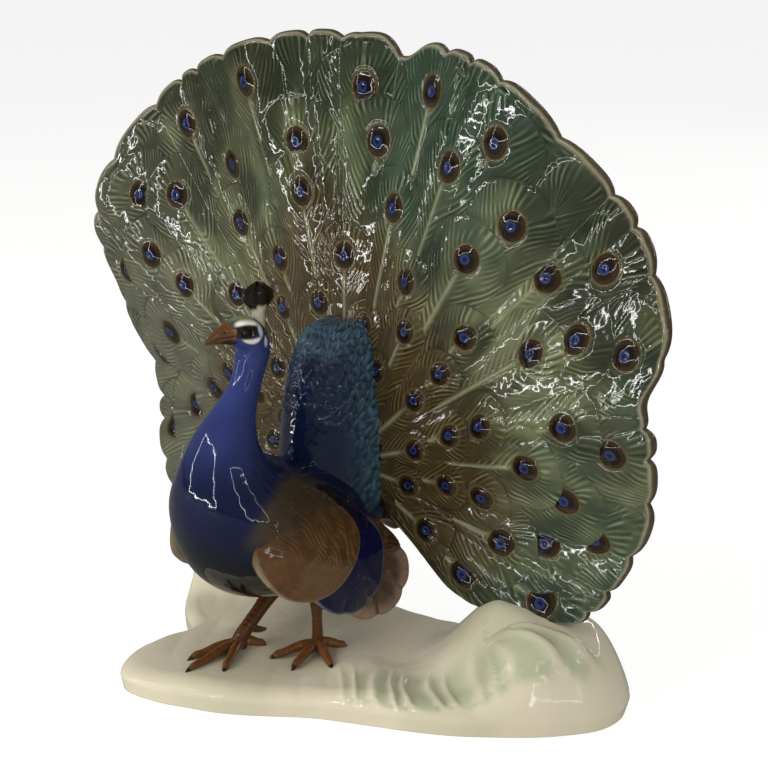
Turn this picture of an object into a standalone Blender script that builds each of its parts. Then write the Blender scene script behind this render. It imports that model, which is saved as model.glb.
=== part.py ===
"""Glazed porcelain peacock with its train spread, standing on a modelled ground.

One fired piece. The origin is on the underside, straight below the root of the train. The bird faces -Y,
the train stands across X, and +Z is up. Sizes are in millimetres until a shape is placed.
"""
import math
import random

import bmesh
import bpy
from mathutils import Matrix, Vector

MM = 0.001
WELD = 0.00002
NAME = "peacock_figurine"
COLLECTION = "porcelain_peacock"

# The train: a thin fluted fan round a root, with angles from +X, anticlockwise as seen from the front.
# Each outline gives the rim's radius as a share of the reach at angles from the top, first on the bird's left,
# then on its right.
TRAIN_REACH = 165.0
TRAIN_ROOT_HEIGHT = 70.0
TRAIN_HALF_SWEEP = 136.0
TRAIN_LEFT_OUTLINE = (
    (0.0, 0.945), (12.0, 0.970), (26.0, 1.000), (40.0, 0.958), (56.0, 0.945), (66.0, 0.927), (74.0, 0.855),
    (88.0, 0.788), (98.0, 0.739), (108.0, 0.691), (112.0, 0.612), (118.0, 0.503), (126.0, 0.400), (136.0, 0.206),
)
TRAIN_RIGHT_OUTLINE = (
    (0.0, 0.945), (12.0, 0.970), (28.0, 0.994), (44.0, 1.030), (56.0, 1.018), (65.0, 0.939), (73.0, 0.830),
    (84.0, 0.727), (96.0, 0.679), (105.0, 0.630), (112.0, 0.558), (120.0, 0.455), (128.0, 0.339), (136.0, 0.182),
)
TRAIN_INNER_SHARE = 0.13
TRAIN_RIM_THICKNESS = 4.6
TRAIN_ROOT_THICKNESS = 11.0
RIM_SHOULDER_SHARE = 0.975
TRAIN_BACK_SHARES = (0.7, 0.4)
FOLD_DEPTH = 6.5
FOLD_PITCH = 45.0
FOLD_CREST_ANGLE = 62.0
LOBE_PITCH = 7.25
LOBE_SHIFT = 2.0
LOBE_SHIFT_WAVES = 13
RIM_SWELL = 1.2
RIM_SWELL_WAVES = 9
LOBE_DEPTH = 2.4
LOBES_END = (108.0, 118.0)
FLUTE_DEPTH = 1.1
NOTCH_ANGLES = (20.0, 82.0, 158.0)
NOTCH_DEPTH = 7.0
NOTCH_WIDTH = 3.2

# The eyes of the train, in rows at a share of the rim's radius. The two outer rows are set by hand.
EYE_LENGTH = 10.5
EYE_WIDTH = 9.0
EYE_HEIGHT = 1.2
EYE_ROWS = (
    (0.89, (-19, -4, 13, 27, 39, 61, 75, 89, 109, 128, 142, 154, 169, 184, 199)),
    (0.76, (-27, -8, 4, 18, 32, 43, 52, 67, 85, 101, 120, 137, 149, 162, 177, 192)),
    (0.62, tuple(-13 + 23 * i for i in range(9))),
    (0.48, tuple(-23 + 23 * i for i in range(11))),
    (0.37, tuple(-38 + 20 * i for i in range(13))),
    (0.26, tuple(-28 + 24 * i for i in range(10))),
)
EYE_SCATTER = 1.4
EYE_ROW_SCATTER = 0.02

# The true tail behind the train: a round of stiff short feathers that closes the train's root. The feathers
# within the first of two angles from straight below are short, and those past the second are full length.
TAIL_REACH = 60.0
TAIL_REACH_BELOW = 27.0
TAIL_PROUD = 2.6
TAIL_QUILL = 0.6
TAIL_FEATHERS = 20
TAIL_LOBE_DEPTH = 4.5
TAIL_SHORT_ANGLES = (30.0, 75.0)

# The bird: sections along its spine from rump to bill, each a place, a lean from upright and two half sizes.
SPINE = (
    (-1.0, 55.0, -10.0, 7.0, 8.0),
    (-14.0, 55.0, -8.0, 18.0, 16.0),
    (-30.0, 54.0, -2.0, 25.0, 23.0),
    (-46.0, 56.0, 8.0, 27.5, 25.5),
    (-58.5, 61.0, 30.0, 27.5, 25.5),
    (-65.0, 71.5, 60.0, 24.0, 20.5),
    (-66.0, 82.0, 88.0, 17.5, 15.5),
    (-64.5, 92.0, 108.0, 11.8, 11.2),
    (-61.0, 100.0, 118.0, 8.0, 7.8),
    (-57.0, 107.0, 116.0, 5.6, 5.8),
    (-53.6, 114.0, 100.0, 5.2, 5.6),
    (-51.8, 120.8, 72.0, 5.9, 6.6),
    (-53.5, 126.0, 30.0, 6.5, 6.9),
    (-57.8, 128.2, 6.0, 5.6, 5.8),
    (-62.2, 128.4, -4.0, 3.5, 3.9),
    (-66.2, 127.8, -12.0, 2.0, 2.5),
    (-70.5, 126.2, -24.0, 0.4, 0.6),
)
NECK_FOOT = 9
NECK_TOP = 11
BROW = 13
HEAD_TURN = 12.0
IRIS_RADIUS = 1.9
IRIS_PLACE = (4.9, 0.8, 0.9)

# The crest: a blunt tuft of short plumes on a stem.
CREST_STEM_RADIUS = 2.3
CREST_TOP = 145.5
CREST_TUFT = 8.5
CREST_WIDTH = 12.5
CREST_THICKNESS = 6.0
CREST_SETBACK = 2.5

# Each wing: three overlapping tiers of feathers as (centre y, centre z, half length, half height, droop,
# proud height, feathers round it, place of the first feather, depth between the feathers' tips).
WING_TIERS = (
    (-24.0, 40.0, 31.2, 17.5, 39.8, 1.2, 7, 36.0, 2.6),
    (-39.5, 51.0, 30.7, 19.1, 52.3, 2.4, 9, 20.0, 0.9),
    (-52.0, 56.0, 21.0, 20.0, 8.0, 4.0, 6, 0.0, 0.0),
)
WING_THICKNESS = 6.0

# The wings' outer surface: its reach from the middle plane, the place where it stands out most, and how far it
# falls in at a distance forward, behind, above and below that place.
WING_REACH = 29.0
WING_MIDDLE = (-38.0, 50.0)
WING_FALL_FORWARD = (5.5, 32.0)
WING_FALL_BEHIND = (2.0, 36.0)
WING_FALL_ABOVE = (12.0, 25.0)
WING_FALL_BELOW = (3.0, 27.0)

# The column of short blue feathers that carries the train.
COLUMN_OFFSET = -2.0
COLUMN_HALF_WIDTH = 19.0
COLUMN_DEPTH = 33.0
COLUMN_BASE = 52.0
COLUMN_TOP = 124.0
COLUMN_MIDDLE_Y = -2.0
COLUMN_BACK_SHARE = 0.25
COLUMN_LEAN = 0.12

# The legs: each foot's place, the thigh above it, the shank's radius and the reach of its toes. The forward
# leg has a spur behind.
ANKLE_HEIGHT = 13.5
THIGH_RADIUS = 5.0
TOE_RADIUS = 1.7
FEET = (
    ((16.0, -37.5), (16.0, -38.0, 36.0), 2.1, ((9.5, -56.0), (22.5, -57.5), (32.5, -47.0), (23.5, -29.5))),
    ((-5.5, -55.5), (-4.0, -33.0, 34.0), 2.8, ((-3.5, -85.0), (-11.5, -76.5), (6.5, -75.5), (0.0, -48.0))),
)
SPUR_ROUTE = ((-5.0, -51.0, 16.0), (-5.0, -46.5, 14.0), (-5.0, -43.0, 13.0))
SPUR_RADIUS = 1.7

# The ground: a low slab with a tongue in front and a mound under each foot of the train, each as
# (x, y, height, half length, half depth), with its places and half sizes as shares of the ground's reach. The
# outline is the edge's share of that reach at angles round the slab's centre.
GROUND_REACH = 119.0
SLAB_HEIGHT = 9.5
SLAB_LIP = 5.0
EDGE_START = 0.88
SLAB_WAVE = 0.5
FLUTE_RELIEF = 1.4
FLUTES = 9
SLAB_CENTRE_Y = -22.0
MOUNDS = (
    (0.664, -0.025, 35.0, 0.360, 0.310),
    (-0.496, -0.025, 34.0, 0.290, 0.250),
)
GROUND_OUTLINE = (
    (-180.0, 0.580), (-162.0, 0.479), (-140.0, 0.395), (-128.0, 0.504), (-119.0, 0.597), (-110.0, 0.647),
    (-98.0, 0.613), (-85.0, 0.563), (-51.0, 0.504), (-30.0, 0.588), (-10.0, 0.798), (1.0, 0.950), (8.0, 1.030),
    (16.0, 1.035), (24.0, 0.950), (33.0, 0.689), (50.0, 0.420), (72.0, 0.311), (95.0, 0.294), (120.0, 0.370),
    (144.0, 0.605), (158.0, 0.723), (168.0, 0.706), (180.0, 0.580),
)


def smooth_table(table, x):
    """The value at x of a smooth curve through a short table of (place, value) pairs."""
    if x <= table[0][0]:
        return table[0][1]
    if x >= table[-1][0]:
        return table[-1][1]
    i = max(k for k in range(len(table) - 1) if table[k][0] <= x)
    (x0, y0), (x1, y1) = table[i], table[i + 1]
    before = table[max(i - 1, 0)]
    after = table[min(i + 2, len(table) - 1)]
    span = x1 - x0
    slope0 = (y1 - before[1]) / (x1 - before[0])
    slope1 = (after[1] - y0) / (after[0] - x0)
    t = (x - x0) / span
    return (
        y0 * (1 + 2 * t) * (1 - t) ** 2
        + slope0 * span * t * (1 - t) ** 2
        + y1 * t * t * (3 - 2 * t)
        + slope1 * span * t * t * (t - 1)
    )


def smooth_step(low, high, x):
    """0 below low, 1 above high, and a smooth rise between."""
    t = min(max((x - low) / (high - low), 0.0), 1.0)
    return t * t * (3 - 2 * t)


def closed_skin(along, around, place):
    """A closed bmesh: place(i, j) gives each point, i counting along it and j round each section."""
    bm = bmesh.new()
    bmesh.ops.create_grid(bm, x_segments=along, y_segments=around, size=0.5)
    for vert in bm.verts:
        i = round((vert.co.x + 0.5) * along)
        j = round((vert.co.y + 0.5) * around)
        vert.co = Vector(place(i, j % around)) * MM
    bmesh.ops.remove_doubles(bm, verts=bm.verts, dist=WELD)
    bmesh.ops.holes_fill(bm, edges=[edge for edge in bm.edges if edge.is_boundary], sides=0)
    bmesh.ops.recalc_face_normals(bm, faces=bm.faces)
    if bm.calc_volume(signed=True) < 0.0:
        bmesh.ops.reverse_faces(bm, faces=bm.faces)
    return bm


def add_object(name, bm, collection):
    mesh = bpy.data.meshes.new(name)
    bm.to_mesh(mesh)
    bm.free()
    obj = bpy.data.objects.new(name, mesh)
    collection.objects.link(obj)
    return obj


def lobe_angle(even):
    """Where a place stands round the fan, from where it would stand if all lobes were alike."""
    return even + LOBE_SHIFT * math.sin(math.radians(LOBE_SHIFT_WAVES * even))


def even_angle(angle):
    """The reverse of lobe_angle, found by closing in on it."""
    even = angle
    for _ in range(12):
        even = angle - LOBE_SHIFT * math.sin(math.radians(LOBE_SHIFT_WAVES * even))
    return even


def train_radius(angle):
    """The rim's radius, with a lobe at each feather's tip and a few deep notches."""
    from_top = abs(angle - 90.0)
    outline = TRAIN_LEFT_OUTLINE if angle < 90.0 else TRAIN_RIGHT_OUTLINE
    radius = TRAIN_REACH * smooth_table(outline, from_top)
    lobe = 1.0 - abs(math.cos(math.pi * even_angle(angle) / LOBE_PITCH))
    swell = RIM_SWELL * math.sin(math.radians(RIM_SWELL_WAVES * angle))
    radius += (swell - LOBE_DEPTH * lobe ** 2) * (1.0 - smooth_step(*LOBES_END, from_top))
    for notch in NOTCH_ANGLES:
        radius -= NOTCH_DEPTH * math.exp(-(((angle - notch) / NOTCH_WIDTH) ** 2))
    return radius


def train_sway(share, angle):
    """How far the fan's middle surface stands behind its plane, from the broad folds."""
    fold = math.cos(2 * math.pi * (angle - FOLD_CREST_ANGLE) / FOLD_PITCH)
    return -FOLD_DEPTH * share ** 1.6 * fold


def train_thickness(share):
    return TRAIN_ROOT_THICKNESS + (TRAIN_RIM_THICKNESS - TRAIN_ROOT_THICKNESS) * share ** 0.7


def train_point(share, angle, side):
    """A point of the fan: side is -1 on the front, 1 on the back and 0 at the middle of the rim."""
    radius = share * train_radius(angle)
    flute = FLUTE_DEPTH * (abs(math.cos(math.pi * even_angle(angle) / LOBE_PITCH)) - 0.5) * share
    y = train_sway(share, angle) + side * (train_thickness(share) / 2 + flute * (side < 0))
    turn = math.radians(angle)
    return (radius * math.cos(turn), y, TRAIN_ROOT_HEIGHT + radius * math.sin(turn))


def make_train(collection):
    span = RIM_SHOULDER_SHARE - TRAIN_INNER_SHARE
    front = [TRAIN_INNER_SHARE + span * k / 7 for k in range(8)]
    back = [RIM_SHOULDER_SHARE, *TRAIN_BACK_SHARES, TRAIN_INNER_SHARE]
    loop = [(share, -1.0) for share in front] + [(1.0, -0.35), (1.0, 0.35)] + [(share, 1.0) for share in back]
    columns = round(2 * TRAIN_HALF_SWEEP / (LOBE_PITCH / 3))

    def place(i, j):
        share, side = loop[j]
        angle = lobe_angle(90.0 - TRAIN_HALF_SWEEP + 2 * TRAIN_HALF_SWEEP * i / columns)
        return train_point(share, angle, side)

    return add_object("train", closed_skin(columns, len(loop), place), collection)


def eye_places():
    """Every eye's share and angle, row by row, with a little seeded scatter.

    Where the rows run together near the root, an eye that would touch one already set is left out.
    """
    scatter = random.Random(7)
    set_eyes = []
    for share, angles in EYE_ROWS:
        for angle in angles:
            radius = share * train_radius(angle)
            angle += math.degrees(EYE_SCATTER * scatter.uniform(-1, 1) / radius)
            share_here = share + EYE_ROW_SCATTER * scatter.uniform(-1, 1)
            spot = Vector(train_point(share_here, angle, -1.0))
            if all((spot - other).length > 1.05 * EYE_LENGTH for other in set_eyes):
                set_eyes.append(spot)
                yield share_here, angle


def make_eyes(collection):
    """The raised eye of each feather, a low boss sunk into the fan's front."""
    bm = bmesh.new()
    sunk = 2.5
    for share, angle in eye_places():
        size = 0.78 + 0.22 * smooth_step(0.25, 0.8, share)
        x, y, z = train_point(share, angle, -1.0)
        aim = Matrix.Rotation(math.radians(90.0 - angle), 4, "Y")
        stand = Matrix.Rotation(math.radians(90.0), 4, "X")
        grow = Matrix.Diagonal((size * EYE_WIDTH / EYE_LENGTH, size, 1.0, 1.0))
        bmesh.ops.create_cone(
            bm,
            cap_ends=True,
            segments=6,
            radius1=0.5 * EYE_LENGTH * MM,
            radius2=0.3 * EYE_LENGTH * MM,
            depth=(EYE_HEIGHT + sunk) * MM,
            matrix=Matrix.Translation(Vector((x, y - (EYE_HEIGHT - sunk) / 2, z)) * MM) @ aim @ stand @ grow,
        )
    return add_object("train_eyes", bm, collection)


def make_tail(collection):
    """The round of tail feathers against the train's back, lobed at each tip."""
    rings = ((0.0, 1.0), (0.35, 1.0), (0.7, 1.0), (0.97, 1.0), (1.0, 0.0), (0.8, -0.2), (0.0, -0.2))
    sides = 2 * round(TAIL_FEATHERS)

    def place(i, j):
        share, side = rings[i]
        angle = 360.0 * j / sides
        below = 1.0 - smooth_step(*TAIL_SHORT_ANGLES, abs(angle - 270.0))
        reach = TAIL_REACH + (TAIL_REACH_BELOW - TAIL_REACH) * below - TAIL_LOBE_DEPTH * (j % 2)
        radius = share * reach
        quill = TAIL_QUILL * share * (1 - j % 2)
        behind = TAIL_PROUD + quill + train_thickness(radius / TRAIN_REACH) / 2
        y = train_sway(radius / TRAIN_REACH, angle) + side * behind
        turn = math.radians(angle)
        return (radius * math.cos(turn), y, TRAIN_ROOT_HEIGHT + radius * math.sin(turn))

    return add_object("tail", closed_skin(len(rings) - 1, sides, place), collection)


def make_column(collection):
    """The domed column of short feathers in front of the fan."""
    rings = 9
    sides = 14

    def place(i, j):
        climb = i / rings
        z = COLUMN_BASE + (COLUMN_TOP - COLUMN_BASE) * math.sin(climb * math.pi / 2)
        swell = math.cos(climb * math.pi / 2) ** 0.4 if i < rings else 0.0
        turn = 2 * math.pi * j / sides
        x = COLUMN_OFFSET + COLUMN_HALF_WIDTH * swell * math.cos(turn)
        depth = COLUMN_DEPTH * (COLUMN_BACK_SHARE if math.sin(turn) > 0 else 1.0)
        y = COLUMN_MIDDLE_Y + depth * swell * math.sin(turn)
        return (x, y * (1.0 - COLUMN_LEAN * climb), z)

    return add_object("train_column", closed_skin(rings, sides, place), collection)


def spine_section(t):
    """The spine's section at t, from 0 at the rump to 1 at the tip of the bill."""
    place = t * (len(SPINE) - 1)
    return [smooth_table([(k, row[c]) for k, row in enumerate(SPINE)], place) for c in range(5)]


def turn_head(point):
    """The head and crest turned a little to the bird's right, with the neck easing into the turn."""
    x, y, z = point
    pivot = SPINE[NECK_TOP][0]
    angle = -math.radians(HEAD_TURN) * smooth_step(SPINE[NECK_FOOT][1], SPINE[NECK_TOP][1], z)
    dy = y - pivot
    return (x * math.cos(angle) - dy * math.sin(angle), pivot + x * math.sin(angle) + dy * math.cos(angle), z)


def make_bird(collection):
    rings = 32
    sides = 16

    def place(i, j):
        y, z, lean, half_width, half_height = spine_section(i / rings)
        turn = 2 * math.pi * j / sides
        across = half_width * math.cos(turn)
        up = half_height * math.sin(turn)
        lean = math.radians(lean)
        return turn_head((across, y + up * math.sin(lean), z + up * math.cos(lean)))

    return add_object("bird", closed_skin(rings, sides, place), collection)


def flank(y, z):
    """How far the wing's outer surface stands from the bird's middle plane."""
    back = y - WING_MIDDLE[0]
    up = z - WING_MIDDLE[1]
    reach = WING_REACH
    for away, (fall, distance) in (
        (-back, WING_FALL_FORWARD), (back, WING_FALL_BEHIND), (up, WING_FALL_ABOVE), (-up, WING_FALL_BELOW),
    ):
        reach -= fall * (max(away, 0.0) / distance) ** 2
    return reach


def make_wing(side, collection):
    """One folded wing: three lens shaped tiers, each lapping the one behind it."""
    for tier, row in enumerate(WING_TIERS):
        cy, cz, half_length, half_height, droop, proud, feathers, first, depth = row
        rings = 4
        sides = 24
        droop = math.radians(droop)

        def place(i, j):
            turn = 2 * math.pi * j / sides
            share = min(i, rings) / rings if i <= rings else (1.0 if i == rings + 1 else 0.0)
            count = feathers * (turn - math.radians(first)) / (2 * math.pi)
            reach = 1.0 - depth / half_length * abs(2 * (count - round(count))) ** 3
            along = share * reach * half_length * math.cos(turn)
            up = share * reach * half_height * math.sin(turn)
            y = cy + along * math.cos(droop) + up * math.sin(droop)
            z = cz - along * math.sin(droop) + up * math.cos(droop)
            lift = proud * (1.0 - 0.55 * share ** 3) if i <= rings else proud - WING_THICKNESS
            return (side * (flank(y, z) + lift), y, z)

        bm = closed_skin(rings + 2, sides, place)
        yield add_object(f"wing_{'left' if side > 0 else 'right'}_{tier}", bm, collection)


def make_crest(collection):
    """The stem and its tuft of plumes, over the back of the crown."""
    sides = 12
    foot_z = SPINE[NECK_TOP][1] + 3.0
    plume_z = CREST_TOP - CREST_TUFT
    heights = (foot_z, plume_z - 1.0, plume_z + 1.0, CREST_TOP - 3.0, CREST_TOP - 0.8, CREST_TOP)
    stem = 2 * CREST_STEM_RADIUS
    widths = (stem, stem, 0.7 * CREST_WIDTH, CREST_WIDTH, 0.85 * CREST_WIDTH, 0.4 * CREST_WIDTH)
    depths = (stem, stem, 1.1 * stem, CREST_THICKNESS, 0.85 * CREST_THICKNESS, 0.4 * CREST_THICKNESS)
    middle = SPINE[NECK_TOP][0] + CREST_SETBACK

    def place(i, j):
        turn = 2 * math.pi * j / sides
        x = depths[i] / 2 * math.cos(turn)
        y = middle + widths[i] / 2 * math.sin(turn)
        return turn_head((x, y, heights[i]))

    return add_object("crest", closed_skin(len(heights) - 1, sides, place), collection)


def make_irises(collection):
    bm = bmesh.new()
    across, behind, above = IRIS_PLACE
    for side in (-1, 1):
        centre = turn_head((side * across, SPINE[BROW][0] + behind, SPINE[BROW][1] + above))
        bmesh.ops.create_icosphere(
            bm,
            subdivisions=1,
            radius=IRIS_RADIUS * MM,
            matrix=Matrix.Translation(Vector(centre) * MM),
        )
    return add_object("irises", bm, collection)


def limb(name, route, radii, sides, collection):
    """A tapering limb along a route of points."""
    def place(i, j):
        ahead = Vector(route[min(i + 1, len(route) - 1)]) - Vector(route[max(i - 1, 0)])
        across = ahead.orthogonal().normalized()
        turn = Matrix.Rotation(2 * math.pi * j / sides, 3, ahead.normalized())
        return Vector(route[i]) + radii[i] * (turn @ across)

    return add_object(name, closed_skin(len(route) - 1, sides, place), collection)


def make_legs(collection):
    for number, ((foot_x, foot_y), thigh, shank_radius, toes) in enumerate(FEET):
        ankle = (foot_x, foot_y, ANKLE_HEIGHT)
        sole = (foot_x, foot_y - 1.0, SLAB_HEIGHT - 0.5)
        shank = [thigh, tuple((a + b) / 2 for a, b in zip(thigh, ankle)), ankle, sole]
        radii = (THIGH_RADIUS, shank_radius, shank_radius, 1.1 * shank_radius)
        yield limb(f"shank_{number}", shank, radii, 8, collection)
        for count, (tip_x, tip_y) in enumerate(toes):
            middle = ((foot_x + tip_x) / 2, (foot_y + tip_y) / 2, SLAB_HEIGHT + 1.4)
            claw = (tip_x, tip_y, SLAB_HEIGHT - 0.2)
            root = (foot_x, foot_y, SLAB_HEIGHT + 2.2)
            radii = (TOE_RADIUS, TOE_RADIUS, 0.3 * TOE_RADIUS)
            yield limb(f"toe_{number}_{count}", (root, middle, claw), radii, 6, collection)
    radii = (SPUR_RADIUS, 0.75 * SPUR_RADIUS, 0.3 * SPUR_RADIUS)
    yield limb("spur", SPUR_ROUTE, radii, 6, collection)


def mound_rise(across, away, outward, reach):
    """A mound's rise from 0 to 1: a spreading slope that turns into a dome on its outward side."""
    slope = (1.0 - smooth_step(0.1, 1.15, reach)) ** 1.7
    dome = math.sqrt(max(1.0 - reach ** 2.4, 0.0))
    facing = outward * across / max(math.hypot(across, away), WELD)
    return slope + (dome - slope) * smooth_step(0.0, 0.9, facing)


def ground_height(x, y, edge):
    """The top of the ground: a soft slab, the fluted mounds, and a rounded fall at the edge."""
    z = SLAB_HEIGHT + SLAB_WAVE * math.sin(0.11 * x + 0.07 * y)
    for mound_x, mound_y, height, half_length, half_depth in MOUNDS:
        across = x / GROUND_REACH - mound_x
        away = y / GROUND_REACH - mound_y
        reach = math.hypot(across / half_length, away / half_depth)
        rise = mound_rise(across, away, math.copysign(1.0, mound_x), reach)
        flute = math.cos(FLUTES * math.atan2(away, across))
        z += (height - SLAB_HEIGHT) * rise + FLUTE_RELIEF * flute * 4 * rise * (1 - rise)
    rounding = min(max((edge - EDGE_START) / (1.0 - EDGE_START), 0.0), 1.0)
    return SLAB_LIP + (z - SLAB_LIP) * math.sqrt(1.0 - rounding ** 2)


def make_ground():
    rings = 9
    sides = 54

    def place(i, j):
        angle = -180.0 + 360.0 * j / sides
        if i <= rings:
            share = (i / rings) ** 0.8
        else:
            share = 0.985 if i == rings + 1 else 0.0
        radius = share * GROUND_REACH * smooth_table(GROUND_OUTLINE, angle)
        x = radius * math.cos(math.radians(angle))
        y = SLAB_CENTRE_Y + radius * math.sin(math.radians(angle))
        z = ground_height(x, y, share) if i <= rings else 0.0
        return (x, y, z)

    return closed_skin(rings + 2, sides, place)


def porcelain():
    material = bpy.data.materials.new("glazed_porcelain")
    material.use_nodes = True
    shader = material.node_tree.nodes["Principled BSDF"]
    shader.inputs["Base Color"].default_value = (0.08, 0.13, 0.09, 1.0)
    shader.inputs["Roughness"].default_value = 0.08
    shader.inputs["Metallic"].default_value = 0.0
    return material


def fuse(whole, form):
    """The form joined to the whole, as two clay pieces are luted together."""
    form.hide_render = True
    form.display_type = "WIRE"
    union = whole.modifiers.new(form.name, "BOOLEAN")
    union.operation = "UNION"
    union.solver = "EXACT"
    union.object = form


def main():
    for obj in list(bpy.data.objects):
        bpy.data.objects.remove(obj, do_unlink=True)
    parts = bpy.data.collections.new(COLLECTION)
    joined = bpy.data.collections.new("joined_forms")
    for collection in (parts, joined):
        bpy.context.scene.collection.children.link(collection)
    figurine = add_object(NAME, make_ground(), parts)
    figurine.data.materials.append(porcelain())
    train = make_train(joined)
    fuse(train, make_eyes(joined))
    forms = [train, make_tail(joined), make_column(joined), make_bird(joined)]
    for side in (-1, 1):
        forms += make_wing(side, joined)
    forms += make_legs(joined)
    forms += [make_crest(joined), make_irises(joined)]
    for form in forms:
        fuse(figurine, form)
    figurine.data.shade_smooth()


main()
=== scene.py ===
"""The looks of the glazed porcelain peacock: finely modelled, underglaze painted surfaces.

Sizes are in millimetres and angles in degrees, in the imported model's own frame. The bird faces -Y, the
train stands across X, and the bird's left side is +X.
"""
import math
import random

import bmesh
import bpy
import numpy as np
from mathutils import Matrix, Vector


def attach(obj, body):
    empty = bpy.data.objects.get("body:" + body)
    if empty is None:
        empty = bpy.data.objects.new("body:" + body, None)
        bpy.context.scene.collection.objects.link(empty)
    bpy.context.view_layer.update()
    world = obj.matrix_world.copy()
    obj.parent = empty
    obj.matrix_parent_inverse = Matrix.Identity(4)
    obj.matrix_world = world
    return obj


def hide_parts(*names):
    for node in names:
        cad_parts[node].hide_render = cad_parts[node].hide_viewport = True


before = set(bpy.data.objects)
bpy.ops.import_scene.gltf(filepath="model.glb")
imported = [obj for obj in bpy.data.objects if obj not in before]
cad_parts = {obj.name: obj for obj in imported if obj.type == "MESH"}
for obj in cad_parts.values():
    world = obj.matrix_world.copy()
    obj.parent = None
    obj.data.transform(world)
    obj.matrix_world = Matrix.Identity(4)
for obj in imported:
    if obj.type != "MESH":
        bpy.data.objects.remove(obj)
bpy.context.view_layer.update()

MM = 0.001
WELD = 0.000015
NODE = "peacock_figurine"
BODY = "root"

# Camera: where the photograph was taken from, and its focal length in pixels of the 768 pixel frame.
CAMERA_PLACE = (416.94, -446.74, 262.55)
CAMERA_AZIMUTH = 42.0
CAMERA_DROP = 15.0
FOCAL_PIXELS = 1700.0
FRAME_PIXELS = 768.0
SENSOR_WIDTH = 36.0

# The train's fan, with angles from +X, anticlockwise as seen from the front.
TRAIN_REACH = 165.0
TRAIN_ROOT_HEIGHT = 70.0
TRAIN_HALF_SWEEP = 136.0
TRAIN_LEFT_OUTLINE = (
    (0.0, 0.945), (12.0, 0.970), (26.0, 1.000), (40.0, 0.958), (56.0, 0.945),
    (66.0, 0.927), (74.0, 0.855), (88.0, 0.788), (98.0, 0.739), (108.0, 0.691),
    (112.0, 0.612), (118.0, 0.503), (126.0, 0.400), (136.0, 0.206),
)
TRAIN_RIGHT_OUTLINE = (
    (0.0, 0.945), (12.0, 0.970), (28.0, 0.994), (44.0, 1.030), (56.0, 1.018),
    (65.0, 0.939), (73.0, 0.830), (84.0, 0.727), (96.0, 0.679), (105.0, 0.630),
    (112.0, 0.558), (120.0, 0.455), (128.0, 0.339), (136.0, 0.182),
)
TRAIN_INNER_SHARE = 0.13
TRAIN_RIM_THICKNESS = 4.6
TRAIN_ROOT_THICKNESS = 11.0
FOLD_DEPTH = 6.5
FOLD_PITCH = 45.0
FOLD_CREST_ANGLE = 62.0
LOBE_PITCH = 7.25
LOBE_SHIFT = 2.0
LOBE_SHIFT_WAVES = 13
RIM_SWELL = 1.2
RIM_SWELL_WAVES = 9
LOBE_DEPTH = 2.4
LOBES_END = (108.0, 118.0)
FLUTE_DEPTH = 1.1
NOTCH_ANGLES = (20.0, 82.0, 158.0)
NOTCH_DEPTH = 7.0
NOTCH_WIDTH = 3.2
TRAIN_SECTORS = (("train_lower_left", -46.0, 20.0), ("train_upper_left", 20.0, 82.0),
                 ("train_upper_right", 82.0, 158.0), ("train_lower_right", 158.0, 226.0))
RIM_SHOULDER_SHARE = 0.985
TRAIN_COLUMN_ANGLE = 0.23
TRAIN_FRONT_ROWS = 210
TRAIN_RIM_ROWS = 10
TRAIN_BACK_ROWS = 18

# The eyes of the train, in rows at a share of the rim's radius, outermost first. Each row's feathers have a
# half width and a tip beyond the eye, and their barbs a pitch.
EYE_LENGTH = 10.5
EYE_WIDTH = 9.0
EYE_ROWS = (
    (0.89, (-19, -4, 13, 27, 39, 61, 75, 89, 109, 128, 142, 154, 169, 184, 199)),
    (0.76, (-27, -8, 4, 18, 32, 43, 52, 67, 85, 101, 120, 137, 149, 162, 177, 192)),
    (0.62, tuple(-13 + 23 * i for i in range(9))),
    (0.48, tuple(-23 + 23 * i for i in range(11))),
    (0.37, tuple(-38 + 20 * i for i in range(13))),
    (0.26, tuple(-28 + 24 * i for i in range(10))),
)
EYE_SCATTER = 1.4
EYE_ROW_SCATTER = 0.02
EYE_SPACING = 1.05 * EYE_LENGTH
NO_EYE = 3.0
FEATHER_SHAPES = {
    0.89: (19.0, 16.0, 3.5), 0.76: (17.0, 16.0, 3.4), 0.62: (15.5, 15.0, 3.2), 0.48: (12.0, 12.0, 3.0),
    0.37: (9.0, 9.0, 2.7), 0.26: (7.5, 7.5, 2.4),
}
RIM_FEATHER_SHAPE = (10.5, 15.0, 3.3)
RIM_FEATHER_SHARE = 0.905
FEATHER_ROOT_SHARE = 0.42
BARB_SLOPE = 1.15
FAN_SETBACK = 7.0
BARB_CURVE = 0.03
BARB_FAN_STEP = 9.0
BARB_RELIEF = 0.17
DOME_RELIEF = 0.32
EYE_RELIEF = 0.8
SHAFT_RELIEF = 0.5
SHAFT_HALF_WIDTH = 0.75

# The true tail behind the train: a round of stiff short feathers, shorter below.
TAIL_REACH = 60.0
TAIL_REACH_BELOW = 27.0
TAIL_PROUD = 2.6
TAIL_QUILL = 0.6
TAIL_FEATHERS = 20
TAIL_LOBE_DEPTH = 4.5
TAIL_BARB_PITCH = 2.4
TAIL_SHORT_ANGLES = (30.0, 75.0)

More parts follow.
